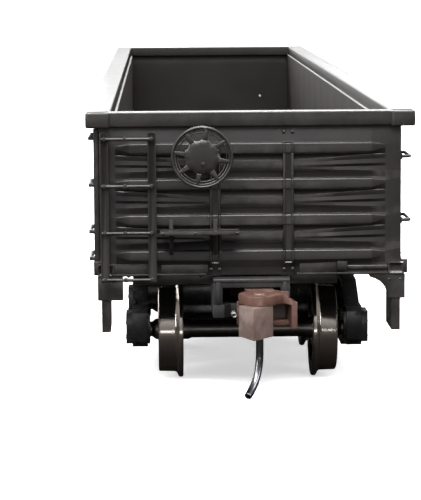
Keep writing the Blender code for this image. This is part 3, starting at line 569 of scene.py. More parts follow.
def moulded_plastic(name, dark, light, worn_and_highlit, roughness, pebble_scale=9000.0, pebble_depth=0.000002,
                    dust=1.0, specular=0.5):
    """Plastic with a moulded skin: patchy shade and gloss, worn raised edges that are also lightened as painted
    edge highlight, and a little dust.
    """
    mat, tree, shader, place = start_material(name)
    grain = use_effect(tree, GRAIN, place, Pebble_Scale=pebble_scale)
    wear_and_highlight = use_effect(tree, WEAR_AND_HIGHLIGHT, place, Reach=0.55)
    specks = use_effect(tree, DUST, place, Amount=dust)
    colour = blended(tree, spread(tree, grain["Shade"], 0.35, 0.65), dark, light)
    # Raised edges take the lighter edge colour: handling marks, and painted edge highlight.
    colour = blended(tree, wear_and_highlight["Mask"], colour, worn_and_highlit)
    colour = blended(tree, sums(tree, "MULTIPLY", specks["Film"], 0.05), colour, (0.45, 0.43, 0.40))
    colour = blended(tree, specks["Mask"], colour, (0.42, 0.40, 0.38))
    tree.links.new(colour, shader.inputs["Base Color"])
    rough = sums(tree, "ADD", grain["Roughness Shift"], roughness)
    rough = sums(tree, "SUBTRACT", rough, sums(tree, "MULTIPLY", wear_and_highlight["Mask"], 0.12))
    rough = sums(tree, "ADD", rough, sums(tree, "MULTIPLY", specks["Mask"], 0.4), clamp=True)
    tree.links.new(rough, shader.inputs["Roughness"])
    shader.inputs["Specular IOR Level"].default_value = specular
    bumped(tree, shader, grain["Height"], pebble_depth)
    return mat


def turned_metal(name, colour, worn, roughness, line_scale=0.0, line_depth=0.0000015):
    """Plated or drawn metal, with fine turning lines where the piece carries its lathe radius."""
    mat, tree, shader, place = start_material(name)
    grain = use_effect(tree, GRAIN, place, Pebble_Scale=7000.0, Patch_Scale=330.0, Patch_Depth=0.14)
    wear_and_highlight = use_effect(tree, WEAR_AND_HIGHLIGHT, place, Reach=0.6)
    tone = blended(tree, spread(tree, grain["Shade"], 0.3, 0.7), colour, worn)
    # Raised edges a little lighter: handling marks, and painted edge highlight.
    tone = blended(tree, wear_and_highlight["Mask"], tone, tuple(min(1.0, c * 1.15) for c in colour))
    tree.links.new(tone, shader.inputs["Base Color"])
    shader.inputs["Metallic"].default_value = 1.0
    height = grain["Height"]
    if line_scale:
        lines = node(tree, "ShaderNodeAttribute", attribute_name="lathe_radius").outputs["Fac"]
        waves = sums(tree, "SINE", sums(tree, "MULTIPLY", lines, line_scale))
        height = sums(tree, "ADD", sums(tree, "MULTIPLY", height, 0.35), waves)
    rough = sums(tree, "ADD", grain["Roughness Shift"], roughness, clamp=True)
    tree.links.new(rough, shader.inputs["Roughness"])
    bumped(tree, shader, height, line_depth)
    return mat


# The third colour of each plastic, here and below, is its raised-edge colour: handling marks, and painted edge
# highlight.
MATERIALS = {
    "body_black": moulded_plastic("satin black body", (0.0078, 0.0064, 0.0062), (0.0125, 0.0103, 0.0100),
                                  (0.060, 0.055, 0.053), 0.36),
    "frame_black": moulded_plastic("satin black underframe", (0.007, 0.0066, 0.0068), (0.011, 0.0102, 0.0105),
                                   (0.035, 0.034, 0.034), 0.46),
    "truck_black": moulded_plastic("glossy black truck", (0.008, 0.0078, 0.0082), (0.013, 0.0125, 0.013),
                                   (0.060, 0.058, 0.060), 0.26, pebble_depth=0.0000008),
    "coupler_brown": moulded_plastic("red brown coupler", (0.066, 0.031, 0.023), (0.096, 0.047, 0.036),
                                     (0.26, 0.16, 0.13), 0.38, pebble_scale=12000.0, dust=0.3),
    "wheel_nickel": turned_metal("bright nickel", (0.66, 0.60, 0.55), (0.50, 0.45, 0.41), 0.15, 120000.0),
    "axle_steel": turned_metal("dark turned steel", (0.24, 0.225, 0.21), (0.12, 0.11, 0.10), 0.32),
    "plated_steel": turned_metal("plated steel", (0.55, 0.53, 0.50), (0.38, 0.36, 0.34), 0.28),
    "trip_steel": turned_metal("dark drawn wire", (0.17, 0.17, 0.18), (0.09, 0.09, 0.10), 0.20),
}


KNUCKLE_BROWN = moulded_plastic("grey brown knuckle", (0.100, 0.063, 0.054), (0.135, 0.090, 0.078),
                                (0.36, 0.29, 0.26), 0.40, pebble_scale=12000.0, dust=0.3)
INSIDE_BLACK = moulded_plastic("matt brown black inside", (0.0075, 0.0048, 0.0040), (0.0130, 0.0082, 0.0066),
                               (0.030, 0.024, 0.022), 0.62, dust=1.6, specular=0.16)


# ---- Finished pieces ----
def show(obj, slot, body="car", replaces=()):
    """Give a finished piece the material of its slot and its body, and hide the CAD nodes it stands for."""
    obj.data.materials.clear()
    obj.data.materials.append(MATERIALS[slot])
    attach(obj, body)
    if replaces:
        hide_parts(*replaces)
    return obj


def both_ends(obj, name, slot, replaces=""):
    """Show a brake-end piece, and its copy turned half round for the other end."""
    far = copy_of(obj, name + "_a", HALF_TURN)
    obj.name = name + "_b"
    show(obj, slot, replaces=[replaces + "_b"] if replaces else ())
    show(far, slot, replaces=[replaces + "_a"] if replaces else ())


def finish_cad_nodes():
    """Every CAD node that stays gets the finish of its own slot."""
    slots = {row["node"]: row["material_slot"] for row in frame["record"]["subparts"]}
    for name, obj in frame["nodes"].items():
        obj.data.materials.clear()
        obj.data.materials.append(MATERIALS[slots[name]])


# ---- Body ----
def rib_heights():
    """Height of the lower edge of each rib's face, from the lowest rib up."""
    low = BOTTOM + LOW_RIB_LIFT
    pitch = (CHORD_BOTTOM - TOP_RIB_DROP - low) / (RIB_COUNT - 1)
    return [low + pitch * i for i in range(RIB_COUNT)]


# Lines of the pressed end sheet, from the top down, in millimetres over the lower edge of a rib's face:
# (height, depth) in the middle of the end, then where the narrow rib has opened into its fork.
RIB_LINES = [
    ((1.10, 0.03), (1.12, 0.05)),
    ((1.04, 0.46), (1.02, 0.42)),
    ((0.94, 0.53), (0.93, 0.49)),
    ((0.00, 0.60), (0.07, 0.56)),
]
FORK_LINES = [
    ((-0.24, 0.08), (-0.10, 0.36)),
    ((-0.76, 0.03), (-0.20, 0.20)),
    ((-0.83, 0.26), (-0.28, 0.38)),
    ((-1.10, 0.29), (-0.76, 0.17)),
    ((-1.40, 0.30), (-1.22, 0.33)),
    ((-1.62, 0.29), (-1.52, 0.06)),
    ((-1.80, 0.27), (-1.98, 0.27)),
    ((-2.00, 0.07), (-2.26, 0.24)),
    ((-2.70, 0.02), (-2.70, 0.03)),
]
FORK_START = 4.9 * MM
FORK_END = 12.9 * MM
RIB_TIP = 14.4 * MM


def end_sheet_lines():
    """(middle height, middle depth, corner height, corner depth) of each line across the end sheet."""
    lines = [(CHORD_BOTTOM + 0.1 * MM, 0.0, CHORD_BOTTOM + 0.1 * MM, 0.0)]
    for i, height in reversed(list(enumerate(rib_heights()))):
        for middle, corner in RIB_LINES + (FORK_LINES if i else [((-0.80, 0.0), (-0.45, 0.0))]):
            lines.append((height + middle[0] * MM, middle[1] * MM, height + corner[0] * MM, corner[1] * MM))
    lines.append((BOTTOM, 0.0, BOTTOM, 0.0))
    return lines


def tip_height(row, lines, z):
    """Rows of a wide rib draw together where its end runs out into the flat margin."""
    place = (row - 1) % (len(RIB_LINES) + len(FORK_LINES))
    if 0 < row < len(lines) - 1 and place < len(RIB_LINES):
        centre = (lines[row - place][2] + lines[row - place + len(RIB_LINES) - 1][2]) / 2
        return centre + (z - centre) * 0.3
    return z


def end_sheet():
    """The pressed end: a grid whose rows follow the ribs and whose columns are the ribs' breaks."""
    lines = end_sheet_lines()
    breaks = [0.0, FORK_START, (FORK_START + FORK_END) / 2, FORK_END, RIB_TIP, SIDE_SHEET - 0.02 * MM]
    columns = [-x for x in reversed(breaks[1:])] + breaks
    fresh()
    bpy.ops.mesh.primitive_grid_add(x_subdivisions=len(columns) - 1, y_subdivisions=len(lines) - 1,
                                    size=2.0, location=(0, 0, 0), rotation=(pi / 2, 0, 0))
    sheet = new_piece("end_sheet")
    for vertex in sheet.data.vertices:
        column = round((vertex.co.x + 1.0) / 2.0 * (len(columns) - 1))
        row = round((1.0 - vertex.co.z) / 2.0 * (len(lines) - 1))
        x = columns[column]
        middle_z, middle_depth, corner_z, corner_depth = lines[row]
        part = min(max((abs(x) - FORK_START) / (FORK_END - FORK_START), 0.0), 1.0)
        z = middle_z + (corner_z - middle_z) * part
        depth = middle_depth + (corner_depth - middle_depth) * part
        if abs(x) > FORK_END + 0.1 * MM:
            depth = 0.0
            if abs(x) < RIB_TIP + 0.1 * MM:
                z = tip_height(row, lines, z)
        vertex.co = (x, -END_SHEET - depth, z)
    edit_all(sheet)
    bpy.ops.mesh.extrude_region_move()
    bpy.ops.transform.resize(value=(1.0, 0.0, 1.0), center_override=(0.0, -INSIDE_END, 0.0))
    close_edit()
    return soften(outwards(sheet), 0.035 * MM, angle=LOW_BREAK)


def end_post(x):
    """Hat-shaped post on the end: a channel whose raised edges swell where they cross the wide ribs."""
    foot = rib_heights()[0] - 0.35 * MM
    head = CHORD_BOTTOM - 1.65 * MM
    front = -END_FACE - 0.16 * MM
    half = 0.5 * MM
    post = block("end_post", (x - half, front, foot), (x + half, -END_SHEET + 0.1 * MM, head))
    sink(post, (0, -1, 0), 0.16 * MM, 0.14 * MM)
    parts = [soften(post, 0.06 * MM, 3)]
    for side in (-1, 1):
        edge = x + side * (half - 0.06 * MM)
        parts.append(soft_rod("post_lip", (edge, front, foot + 0.1 * MM), (edge, front, head - 0.1 * MM),
                              0.13 * MM, 16, 0.05 * MM))
    for i, height in enumerate(rib_heights()):
        for side in (-1, 1):
            edge = x + side * (half - 0.02 * MM)
            parts.append(soft_block("swell", (edge - 0.15 * MM, front - 0.16 * MM, height - 0.05 * MM),
                                    (edge + 0.15 * MM, -END_SHEET, height + 1.05 * MM), 0.1 * MM, 4))
            if i:
                tab = edge + side * 0.20 * MM
                parts.append(soft_block("tab", (tab - 0.06 * MM, -END_SHEET - 0.42 * MM, height - 1.95 * MM),
                                        (tab + 0.06 * MM, -END_SHEET, height - 1.20 * MM), 0.03 * MM))
    return parts


def end_rivets():
    head = dome("rivet", (0, 0, 0), 0.21 * MM, 0.19 * MM, (0, -1, 0))
    places = []
    for x in END_POSTS:
        for side in (-1, 1):
            places.append((x + side * 0.45 * MM, -END_SHEET, CHORD_BOTTOM - 0.62 * MM))
            places.append((x + side * 0.45 * MM, -END_SHEET - 0.12 * MM, BOTTOM + 0.62 * MM))
    return dotted("end_rivets", head, places)


def end_sill():
    """Pieces under the lowest rib: plates, a push block, a bar, lips, corner pockets, beams and nubs."""
    parts = []
    back = -END_SHEET + 0.1 * MM
    for left, right, top, proud in ((-9.6, -4.6, 1.15, 0.22), (-14.9, -10.2, 1.25, 0.12),
                                    (5.2, 9.2, 1.35, 0.26)):
        parts.append(soft_block("sill_plate", (left * MM, -END_SHEET - proud * MM, BOTTOM + 0.22 * MM),
                                (right * MM, back, BOTTOM + top * MM), 0.06 * MM))
    parts.append(soft_block("push_block", (9.2 * MM, -END_SHEET - 0.5 * MM, BOTTOM + 0.45 * MM),
                            (10.3 * MM, back, BOTTOM + 1.4 * MM), 0.1 * MM))
    parts.append(soft_block("sill_bar", (10.3 * MM, -END_SHEET - 0.22 * MM, BOTTOM + 0.5 * MM),
                            (14.7 * MM, back, BOTTOM + 0.95 * MM), 0.12 * MM, 3))
    for left, right in ((-14.9, -4.7), (4.9, 14.7)):
        parts.append(soft_block("sill_lip", (left * MM, -END_FACE - 0.05 * MM, BOTTOM),
                                (right * MM, back, BOTTOM + 0.2 * MM), 0.06 * MM))
    pocket = block("push_pocket", (14.7 * MM, -END_FACE - 0.15 * MM, BOTTOM + 0.02 * MM),
                   (SIDE_SHEET + 0.28 * MM, -END_FACE + 2.0 * MM, BOTTOM + 1.25 * MM))
    sink(pocket, (0, -1, 0), 0.28 * MM, 0.25 * MM)
    parts.append(soften(pocket, 0.12 * MM, 3))
    parts.append(copy_of(pocket, "push_pocket_left", MIRROR_X))
    for left, right in ((-12.4, -3.2), (3.2, 9.3)):
        parts.append(soft_block("end_beam", (left * MM, -END_SHEET + 0.75 * MM, BOTTOM - 1.15 * MM),
                                (right * MM, -END_SHEET + 1.9 * MM, BOTTOM + 0.1 * MM), 0.1 * MM))
    for x in (-5.4, 10.9, -13.1):
        parts.append(soft_rod("sill_nub", (x * MM, -END_SHEET - 0.25 * MM, BOTTOM - 0.02 * MM),
                              (x * MM, -END_SHEET + 0.2 * MM, BOTTOM - 0.02 * MM), 0.2 * MM, 12, 0.05 * MM))
    return parts


def body_end():
    both_ends(end_sheet(), "end_sheet", "body_black")
    posts = joined("end_posts", [part for x in END_POSTS for part in end_post(x)])
    both_ends(posts, "end_posts", "body_black")
    both_ends(end_rivets(), "end_rivets", "body_black")
    both_ends(joined("end_sill", end_sill()), "end_sill", "body_black")


def top_chord():
    """The rim round the open top: a frame with rounded edges, and four heavier corners."""
    rim = block("top_chord", (-CHORD_HALF, -END_FACE, CHORD_BOTTOM), (CHORD_HALF, END_FACE, TOP))
    opening = block("opening", (-CHORD_HALF + SIDE_CHORD, -END_FACE + END_CHORD, CHORD_BOTTOM - MM),
                    (CHORD_HALF - SIDE_CHORD, END_FACE - END_CHORD, TOP + MM))
    carve(rim, opening)
    soften(rim, 0.16 * MM, 4)
    parts = []
    for x_side in (-1, 1):
        for y_side in (-1, 1):
            outside = (x_side * (CHORD_HALF + 0.02 * MM), y_side * CORNER_FACE, CHORD_BOTTOM - 0.07 * MM)
            inside = (x_side * (CHORD_HALF - SIDE_CHORD + 0.1 * MM), y_side * (END_FACE - 1.9 * MM), TOP)
            corner = block("corner", outside, inside)
            round_along(corner, "Z", 0.35 * MM, 5)
            parts.append(soften(corner, 0.17 * MM, 3))
    show(rim, "body_black")
    show(joined("chord_corners", parts), "body_black")


def side_post_places():
    span = 2 * END_FACE - 2 * SIDE_POST_MARGIN
    count = round(span / SIDE_POST_PITCH)
    return [-span / 2 + span * i / count for i in range(count + 1)]


def side_wall():
    """One side's sheet in panels between the posts, and the sill along its foot."""
    wall = block("side_sheet", (INSIDE_HALF, -INSIDE_END - 0.1 * MM, BOTTOM + 0.1 * MM),
                 (SIDE_SHEET, INSIDE_END + 0.1 * MM, CHORD_BOTTOM + 0.1 * MM))
    cut_across(wall, side_post_places())
    sink(wall, (1, 0, 0), 0.55 * MM, 0.06 * MM, each=True)
    soften(wall, 0.05 * MM, angle=LOW_BREAK)
    sill = block("side_sill", (SIDE_SHEET - 0.1 * MM, -END_SHEET + 0.2 * MM, BOTTOM),
                 (SIDE_SHEET + SIDE_POST_DEPTH + 0.1 * MM, END_SHEET - 0.2 * MM, BOTTOM + SIDE_SILL_DEPTH))
    sink(sill, (1, 0, 0), 0.28 * MM, 0.22 * MM)
    return [wall, soften(sill, 0.08 * MM)]


def side_post():
    """A hat-section post with riveted flanges, at the origin on the +X side."""
    foot = BOTTOM + SIDE_SILL_DEPTH - 0.05 * MM
    head = CHORD_BOTTOM + 0.05 * MM
    half = SIDE_POST_WIDTH / 2
    post = block("side_post", (SIDE_SHEET - 0.1 * MM, -half, foot),
                 (SIDE_SHEET + SIDE_POST_DEPTH, half, head))
    edit_with(post, "FACE", facing((1, 0, 0)))
    bpy.ops.transform.resize(value=(1.0, 0.72, 1.0), center_override=(SIDE_SHEET, 0, 0))
    close_edit()
    soften(post, 0.09 * MM, 3)
    flange = soft_block("flange", (SIDE_SHEET - 0.1 * MM, -half - 0.5 * MM, foot),
                        (SIDE_SHEET + 0.1 * MM, half + 0.5 * MM, head), 0.04 * MM)
    rivet = dome("rivet", (SIDE_SHEET + 0.09 * MM, 0, 0), 0.13 * MM, 0.1 * MM, (1, 0, 0))
    rows = 11
    places = [(0, side * (half + 0.28 * MM), foot + (head - foot) * (i + 0.5) / rows)
              for i in range(rows) for side in (-1, 1)]
    return joined("side_post", [post, flange, dotted("post_rivets", rivet, places)])


def side_lining():
    """The matt inside face of a side, in panels between the posts."""
    lining = block("side_lining", (INSIDE_HALF - 0.015 * MM, -INSIDE_END, FLOOR_HIGH.z - 0.02 * MM),
                   (INSIDE_HALF + 0.1 * MM, INSIDE_END, CHORD_BOTTOM + 0.02 * MM))
    cut_across(lining, side_post_places())
    sink(lining, (-1, 0, 0), 0.3 * MM, 0.012 * MM, each=True)
    return smooth(lining, 20)


def body_sides():
    lining = side_lining()
    for piece in (copy_of(lining, "side_lining_left", HALF_TURN), lining):
        show(piece, "body_black")
        piece.data.materials[0] = INSIDE_BLACK
    right = joined("side_right", side_wall())
    left = copy_of(right, "side_left", HALF_TURN)
    pattern = side_post()
    posts = [copy_of(pattern, f"post_{i}", moved(y=y)) for i, y in enumerate(side_post_places())]
    bpy.data.objects.remove(pattern)
    posts_right = joined("side_posts_right", posts)
    posts_left = copy_of(posts_right, "side_posts_left", HALF_TURN)
    show(right, "body_black", replaces=["body_shell"])
    for obj in (left, posts_right, posts_left):
        show(obj, "body_black")


def load_floor():
    """Floor plates with welded seams over the bearers."""
    floor = block("floor_plates", (-INSIDE_HALF + GAP, -INSIDE_END + GAP, FLOOR_LOW.z),
                  (INSIDE_HALF - GAP, INSIDE_END - GAP, FLOOR_HIGH.z))
    seams = 7
    cut_across(floor, [INSIDE_END * (2 * (i + 1) / (seams + 1) - 1) for i in range(seams)])
    sink(floor, (0, 0, 1), 0.35 * MM, 0.09 * MM, each=True)
    show(soften(floor, 0.05 * MM, angle=LOW_BREAK), "body_black", replaces=["load_floor"])
    floor.data.materials[0] = INSIDE_BLACK


# ---- Hand brake ----
def brake_wheel():
    """Cast wheel: a round rim with two thinner rings inside it, eight short spokes and a broad domed hub."""
    low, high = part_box("brake_wheel")
    x = (low.x + high.x) / 2
    z = (low.z + high.z) / 2
    radius = (high.x - low.x) / 2
    back = low.y + 0.65 * MM
    parts = [ring(name, (x, back - forward * MM, z), radius - inset * MM, thickness * MM, 72, sides)
             for name, forward, inset, thickness, sides in (
                 ("rim", 0.30, 0.16, 0.16, 14), ("inner_lip", 0.26, 0.42, 0.09, 10),
                 ("spoke_ring", 0.16, 0.70, 0.07, 10))]
    hub = 1.92 * MM
    profile = [(0, 0.45 * MM), (0.5 * MM, 0.45 * MM), (1.2 * MM, 0.41 * MM), (hub - 0.12 * MM, 0.35 * MM),
               (hub, 0.24 * MM), (hub - 0.05 * MM, 0.04 * MM), (0.5 * MM, 0.0), (0.5 * MM, back - high.y),
               (0, back - high.y)]
    disc = lathe("hub", profile, (x, back, z), (0, -1, 0), 64)
    spokes = 8
    first_spoke = radians(10)
    edit_with(disc, "VERT", lambda v: hypot(v.co.x - x, v.co.z - z) > hub * 0.9
              and cos(spokes * (atan2(v.co.z - z, v.co.x - x) + first_spoke)) < -0.2)
    bpy.ops.transform.resize(value=(0.93, 1.0, 0.93), center_override=(x, back, z))
    close_edit()
    parts.append(smooth(disc, 50))
    spoke = block("spoke", (hub - 0.15 * MM, -0.15 * MM, -0.17 * MM),
                  (radius - 0.3 * MM, 0.17 * MM, 0.17 * MM))
    edit_with(spoke, "FACE", facing((-1, 0, 0)))
    bpy.ops.transform.resize(value=(1.0, 1.0, 1.7), center_override=(0, 0, 0))
    close_edit()
    soften(spoke, 0.09 * MM, 3)
    for i in range(spokes):
        turn = Matrix.Rotation(2 * pi / spokes * i + first_spoke, 4, "Y")
        parts.append(copy_of(spoke, f"spoke_{i}", moved(x, back - 0.22 * MM, z) @ turn))
    bpy.data.objects.remove(spoke)
    parts.append(soft_rod("nut", (x + 0.1 * MM, back - 0.5 * MM, z - 0.68 * MM),
                          (x + 0.1 * MM, low.y - 0.02 * MM, z - 0.68 * MM), 0.22 * MM, 6, 0.04 * MM))
    show(joined("hand_brake_wheel", parts), "body_black", "brake_wheel", ["brake_wheel"])


def brake_housing():
    low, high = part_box("brake_housing")
    case = from_node("brake_case", "brake_housing", 0.14 * MM, 3)
    parts = [case]
    for x in (low.x + 0.45 * MM, high.x - 0.45 * MM):
        for z in (low.z + 0.45 * MM, high.z - 0.45 * MM):
            parts.append(dome("case_bolt", (x, low.y + 0.01 * MM, z), 0.17 * MM, 0.13 * MM, (0, -1, 0)))
    show(joined("brake_case", parts), "body_black", replaces=["brake_housing"])


def brake_step():
    """Narrow step: a rimmed plate on thin brackets, with bolt heads along its front edge."""
    low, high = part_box("brake_step")
    top = high.z - 1.0 * MM
    tread = block("brake_step_tread", (low.x, low.y, top - 0.5 * MM), (high.x, high.y, top))
    sink(tread, (0, 0, 1), 0.2 * MM, 0.14 * MM)
    parts = [soften(tread, 0.1 * MM, 3)]
    for x in (low.x + 1.2 * MM, END_POSTS[0]):
        profile = [(0.0, high.z), (0.0, low.z), (0.3, low.z), (1.7, top - 0.3 * MM), (0.3, top - 0.2 * MM),
                   (0.3, high.z)]
        outline = [(x - 0.22 * MM, high.y - reach * MM, z) for reach, z in profile]
        parts.append(soften(plate("bracket", outline, (0.44 * MM, 0, 0)), 0.07 * MM))
    bolt = 0.17 * MM
    for x in (low.x + 0.3 * MM, low.x + 3.75 * MM, high.x - 0.3 * MM):
        parts.append(dome("step_bolt", (x, low.y + 0.02 * MM, top - 0.25 * MM), bolt, bolt * 0.7, (0, -1, 0)))
    show(joined("brake_step_tread", parts), "body_black", replaces=["brake_step"])


# ---- Ladders, grab irons and corner steps ----
def rung_heights():
    low = BOTTOM - 0.3 * MM
    high = CHORD_BOTTOM - 1.2 * MM
    return [low + (high - low) * i / 3 for i in range(4)]


def end_ladder():
    """Two stiles with rounded ends, and round rungs bolted to them."""
    low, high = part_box("end_ladder_b")
    back = high.y
    front = low.y
    parts = []
    for left in (low.x, high.x - 0.9 * MM):
        stile = block("stile", (left, front + 0.4 * MM, low.z), (left + 0.9 * MM, back, high.z))
        round_along(stile, "Y", 0.28 * MM, 4)
        sink(stile, (0, -1, 0), 0.13 * MM, 0.06 * MM)
        parts.append(soften(stile, 0.05 * MM))
    bar_y = front + 0.22 * MM
    for height in rung_heights():
        parts.append(smooth(rod("rung", (low.x + 0.15 * MM, bar_y, height),
                                (high.x - 0.3 * MM, bar_y, height), 0.19 * MM, 16)))
        for x in (low.x + 0.45 * MM, (low.x + high.x) / 2 - 0.35 * MM, high.x - 0.5 * MM):
            parts.append(soft_rod("rung_foot", (x, front - 0.02 * MM, height), (x, back - 0.15 * MM, height),
                                  0.24 * MM, 10, 0.07 * MM))
    both_ends(joined("end_ladder", parts), "end_ladder", "body_black", "end_ladder")


def side_ladder():
    low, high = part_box("side_ladder_b")
    inner = high.x
    parts = []
    for y in (low.y + 0.05 * MM, high.y - 0.05 * MM - 0.7 * MM):
        parts.append(soft_block("side_stile", (inner - 0.6 * MM, y, BOTTOM + SIDE_SILL_DEPTH + 0.03 * MM),
                                (inner, y + 0.7 * MM, CHORD_BOTTOM - 0.2 * MM), 0.09 * MM, 3))
    bar_x = low.x + 0.2 * MM
    for i, height in enumerate(rung_heights()):
        if i == 0:
            height = max(height, BOTTOM + SIDE_SILL_DEPTH + 0.33 * MM)
        parts.append(smooth(rod("side_rung", (bar_x, low.y, height), (bar_x, high.y, height), 0.2 * MM, 16)))
        for y in (low.y + 0.4 * MM, high.y - 0.4 * MM):
            parts.append(soft_rod("side_rung_foot", (low.x, y, height), (inner - 0.3 * MM, y, height),
                                  0.25 * MM, 10, 0.07 * MM))
    both_ends(joined("side_ladder", parts), "side_ladder", "body_black", "side_ladder")


def grab_irons():
    """Bent round bars on the side away from the ladder, each with two bolted feet."""
    for number in (1, 2):
        low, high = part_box(f"side_grab_b_{number}")
        z = (low.z + high.z) / 2
        bar = 0.19 * MM
        near = low.y + bar
        far = high.y - bar
        line = [(low.x, near, z), (high.x - bar, near, z), (high.x - bar, far, z), (low.x, far, z)]
        parts = [bent_rod("grab", line, bar, 0.3 * MM)]
        for y in (near, far):
            parts.append(soft_block("grab_foot", (low.x - 0.02 * MM, y - 0.3 * MM, z - 0.34 * MM),
                                    (low.x + 0.12 * MM, y + 0.3 * MM, z + 0.34 * MM), 0.05 * MM))
        grab = joined(f"grab_{number}", parts)
        far_grab = copy_of(grab, f"grab_iron_a_{number}", HALF_TURN)
        grab.name = f"grab_iron_b_{number}"
        show(grab, "body_black", replaces=[f"side_grab_b_{number}"])
        show(far_grab, "body_black", replaces=[f"side_grab_a_{number}"])


def corner_steps():
    for kind in ("ladder", "grab"):
        low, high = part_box(f"stirrup_b_{kind}")
        step = from_node("corner_step", f"stirrup_b_{kind}", 0.1 * MM, 3)
        parts = [step]
        outer = low.x if kind == "ladder" else high.x
        inward = 1 if kind == "ladder" else -1
        for depth in (0.5, 1.7):
            place = (outer + inward * depth * MM, low.y + 0.02 * MM, high.z - 0.55 * MM)
            parts.append(dome("step_rivet", place, 0.16 * MM, 0.12 * MM, (0, -1, 0)))
        step = joined("corner_step_" + kind, parts)
        far = copy_of(step, f"corner_step_{kind}_a", HALF_TURN)
        step.name = f"corner_step_{kind}_b"
        show(step, "body_black", replaces=[f"stirrup_b_{kind}"])
        show(far, "body_black", replaces=[f"stirrup_a_{kind}"])


# ---- Draft gear and couplers ----
def draft_gear():
    """The coupler box with a lip and two cheeks round its mouth, and its lid."""
    low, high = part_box("draft_gear_box_b")
    parts = [from_node("coupler_box", "draft_gear_box_b", 0.1 * MM, 3)]
    parts.append(soft_block("box_lip", (low.x + 0.02 * MM, low.y - 0.1 * MM, high.z - 0.42 * MM),
                            (high.x - 0.02 * MM, low.y + 0.3 * MM, high.z - 0.02 * MM), 0.1 * MM, 3))
    for side in (-1, 1):
        edge = side * (high.x - 0.3 * MM)
        parts.append(soft_block("box_cheek", (edge, low.y - 0.1 * MM, low.z),
                                (edge - side * 0.5 * MM, low.y + 0.3 * MM, high.z - 0.3 * MM), 0.08 * MM))
    both_ends(joined("coupler_box", parts), "coupler_box", "frame_black", "draft_gear_box")
    both_ends(from_node("coupler_lid", "draft_gear_lid_b", 0.12 * MM, 3), "coupler_lid", "frame_black",
              "draft_gear_lid")


def knuckle_axis(end):
    """Where the knuckle's pin stands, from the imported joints."""
    return Vector(next(j for j in frame["joints"] if j["name"] == f"knuckle_{end}_open")["pos_m"])


def coupler(end):
    """Head with a raised ring round the knuckle pin, the knuckle, its spring and the bent trip pin."""
    body = "coupler_" + end
    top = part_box(body)[1].z
    pin = knuckle_axis(end)
    head = from_node("coupler_head_" + end, body, 0.09 * MM, 3)
    ring_profile = [(0.34 * MM, -0.1 * MM), (0.36 * MM, 0.17 * MM), (0.46 * MM, 0.23 * MM),
                    (0.61 * MM, 0.20 * MM),
                    (0.70 * MM, 0.09 * MM), (0.72 * MM, -0.1 * MM), (0.34 * MM, -0.1 * MM)]
    ring = smooth(lathe("pin_ring", ring_profile, (pin.x, pin.y, top), (0, 0, 1), 40), 50)
    show(joined("coupler_head_" + end, [head, ring]), "coupler_brown", body, [body])
    knuckle = from_node("coupler_knuckle_" + end, "knuckle_" + end, 0.09 * MM, 3)
    show(knuckle, "coupler_brown", "knuckle_" + end, ["knuckle_" + end])
    knuckle.data.materials[0] = KNUCKLE_BROWN
    spring_low, spring_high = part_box("knuckle_spring_" + end)
    centre = (spring_low + spring_high) / 2
    length = spring_high.y - spring_low.y - 0.15 * MM
    radius = 0.24 * MM
    turns = 7
    steps = 14
    coil = [(centre.x + radius * cos(2 * pi * i / steps), centre.y + length * (i / (turns * steps) - 0.5),
             centre.z + radius * sin(2 * pi * i / steps)) for i in range(turns * steps + 1)]
    show(bent_rod("knuckle_coil_" + end, coil, 0.065 * MM), "plated_steel", body, ["knuckle_spring_" + end])
    trip_pin(end)


def trip_pin(end):
    """Bent wire, rounder than the CAD solid, with a hollow end."""
    wire = from_node("trip_wire_" + end, "trip_pin_" + end, 0.0)
    lowest = min(v.co.z for v in wire.data.vertices)
    edit_with(wire, "FACE", lambda f: len(f.vertices) > 6 and f.center.z < lowest + 0.6 * MM)
    bpy.ops.mesh.inset(thickness=0.07 * MM, depth=0.0)
    bpy.ops.mesh.inset(thickness=0.06 * MM, depth=-0.02 * MM)
    bpy.ops.mesh.inset(thickness=0.05 * MM, depth=-0.5 * MM)
    close_edit()
    rounder = wire.modifiers.new("rounder", "SUBSURF")
    rounder.levels = 2
    rounder.render_levels = 2
    apply_modifier(wire, rounder)
    show(smooth(wire, 60), "trip_steel", "knuckle_" + end, ["trip_pin_" + end])


# ---- Trucks ----
AXLE_REACH = 9.9 * MM        # from the truck's centre to each axle


def wheel_pattern():
    """A turned wheel at the origin, its axis along X and its face towards +X."""
    low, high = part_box("wheel_1_right")
    width = high.x - low.x
    flange = (high.z - low.z) / 2
    tread = flange - 0.64 * MM
    bore = 1.2 * MM
    hub = 2.08 * MM
    rim = tread - 0.9 * MM
    profile = [(bore, width - 0.2 * MM), (hub - 0.1 * MM, width - 0.2 * MM), (hub, width - 0.28 * MM),
               (hub + 0.15 * MM, width - 0.75 * MM), (hub + 0.35 * MM, width - 0.9 * MM),
               (rim - 0.35 * MM, width - 0.78 * MM),
               (rim - 0.08 * MM, width - 0.6 * MM), (rim, width - 0.1 * MM), (rim + 0.08 * MM, width),
               (tread - 0.22 * MM, width),
               (tread - 0.09 * MM, width - 0.07 * MM), (tread - 0.04 * MM, width - 0.2 * MM),
               (tread, 0.98 * MM),
               (tread + 0.05 * MM, 0.84 * MM), (tread + 0.2 * MM, 0.70 * MM), (flange - 0.14 * MM, 0.56 * MM),
               (flange - 0.02 * MM, 0.42 * MM), (flange, 0.28 * MM), (flange - 0.04 * MM, 0.1 * MM),
               (flange - 0.14 * MM, 0.0),
               (rim, 0.0), (rim - 0.1 * MM, 0.12 * MM), (rim - 0.25 * MM, 0.55 * MM),
               (hub + 0.3 * MM, 0.62 * MM),
               (hub, 0.5 * MM), (hub - 0.05 * MM, 0.1 * MM), (bore, 0.1 * MM), (bore, width - 0.2 * MM)]
    wheel = lathe("wheel", profile, (0, 0, 0), (1, 0, 0), 72)
    radius = wheel.data.attributes.new("lathe_radius", "FLOAT", "POINT")
    for item, vertex in zip(radius.data, wheel.data.vertices):
        item.value = hypot(vertex.co.y, vertex.co.z)
    return smooth(wheel, 32)


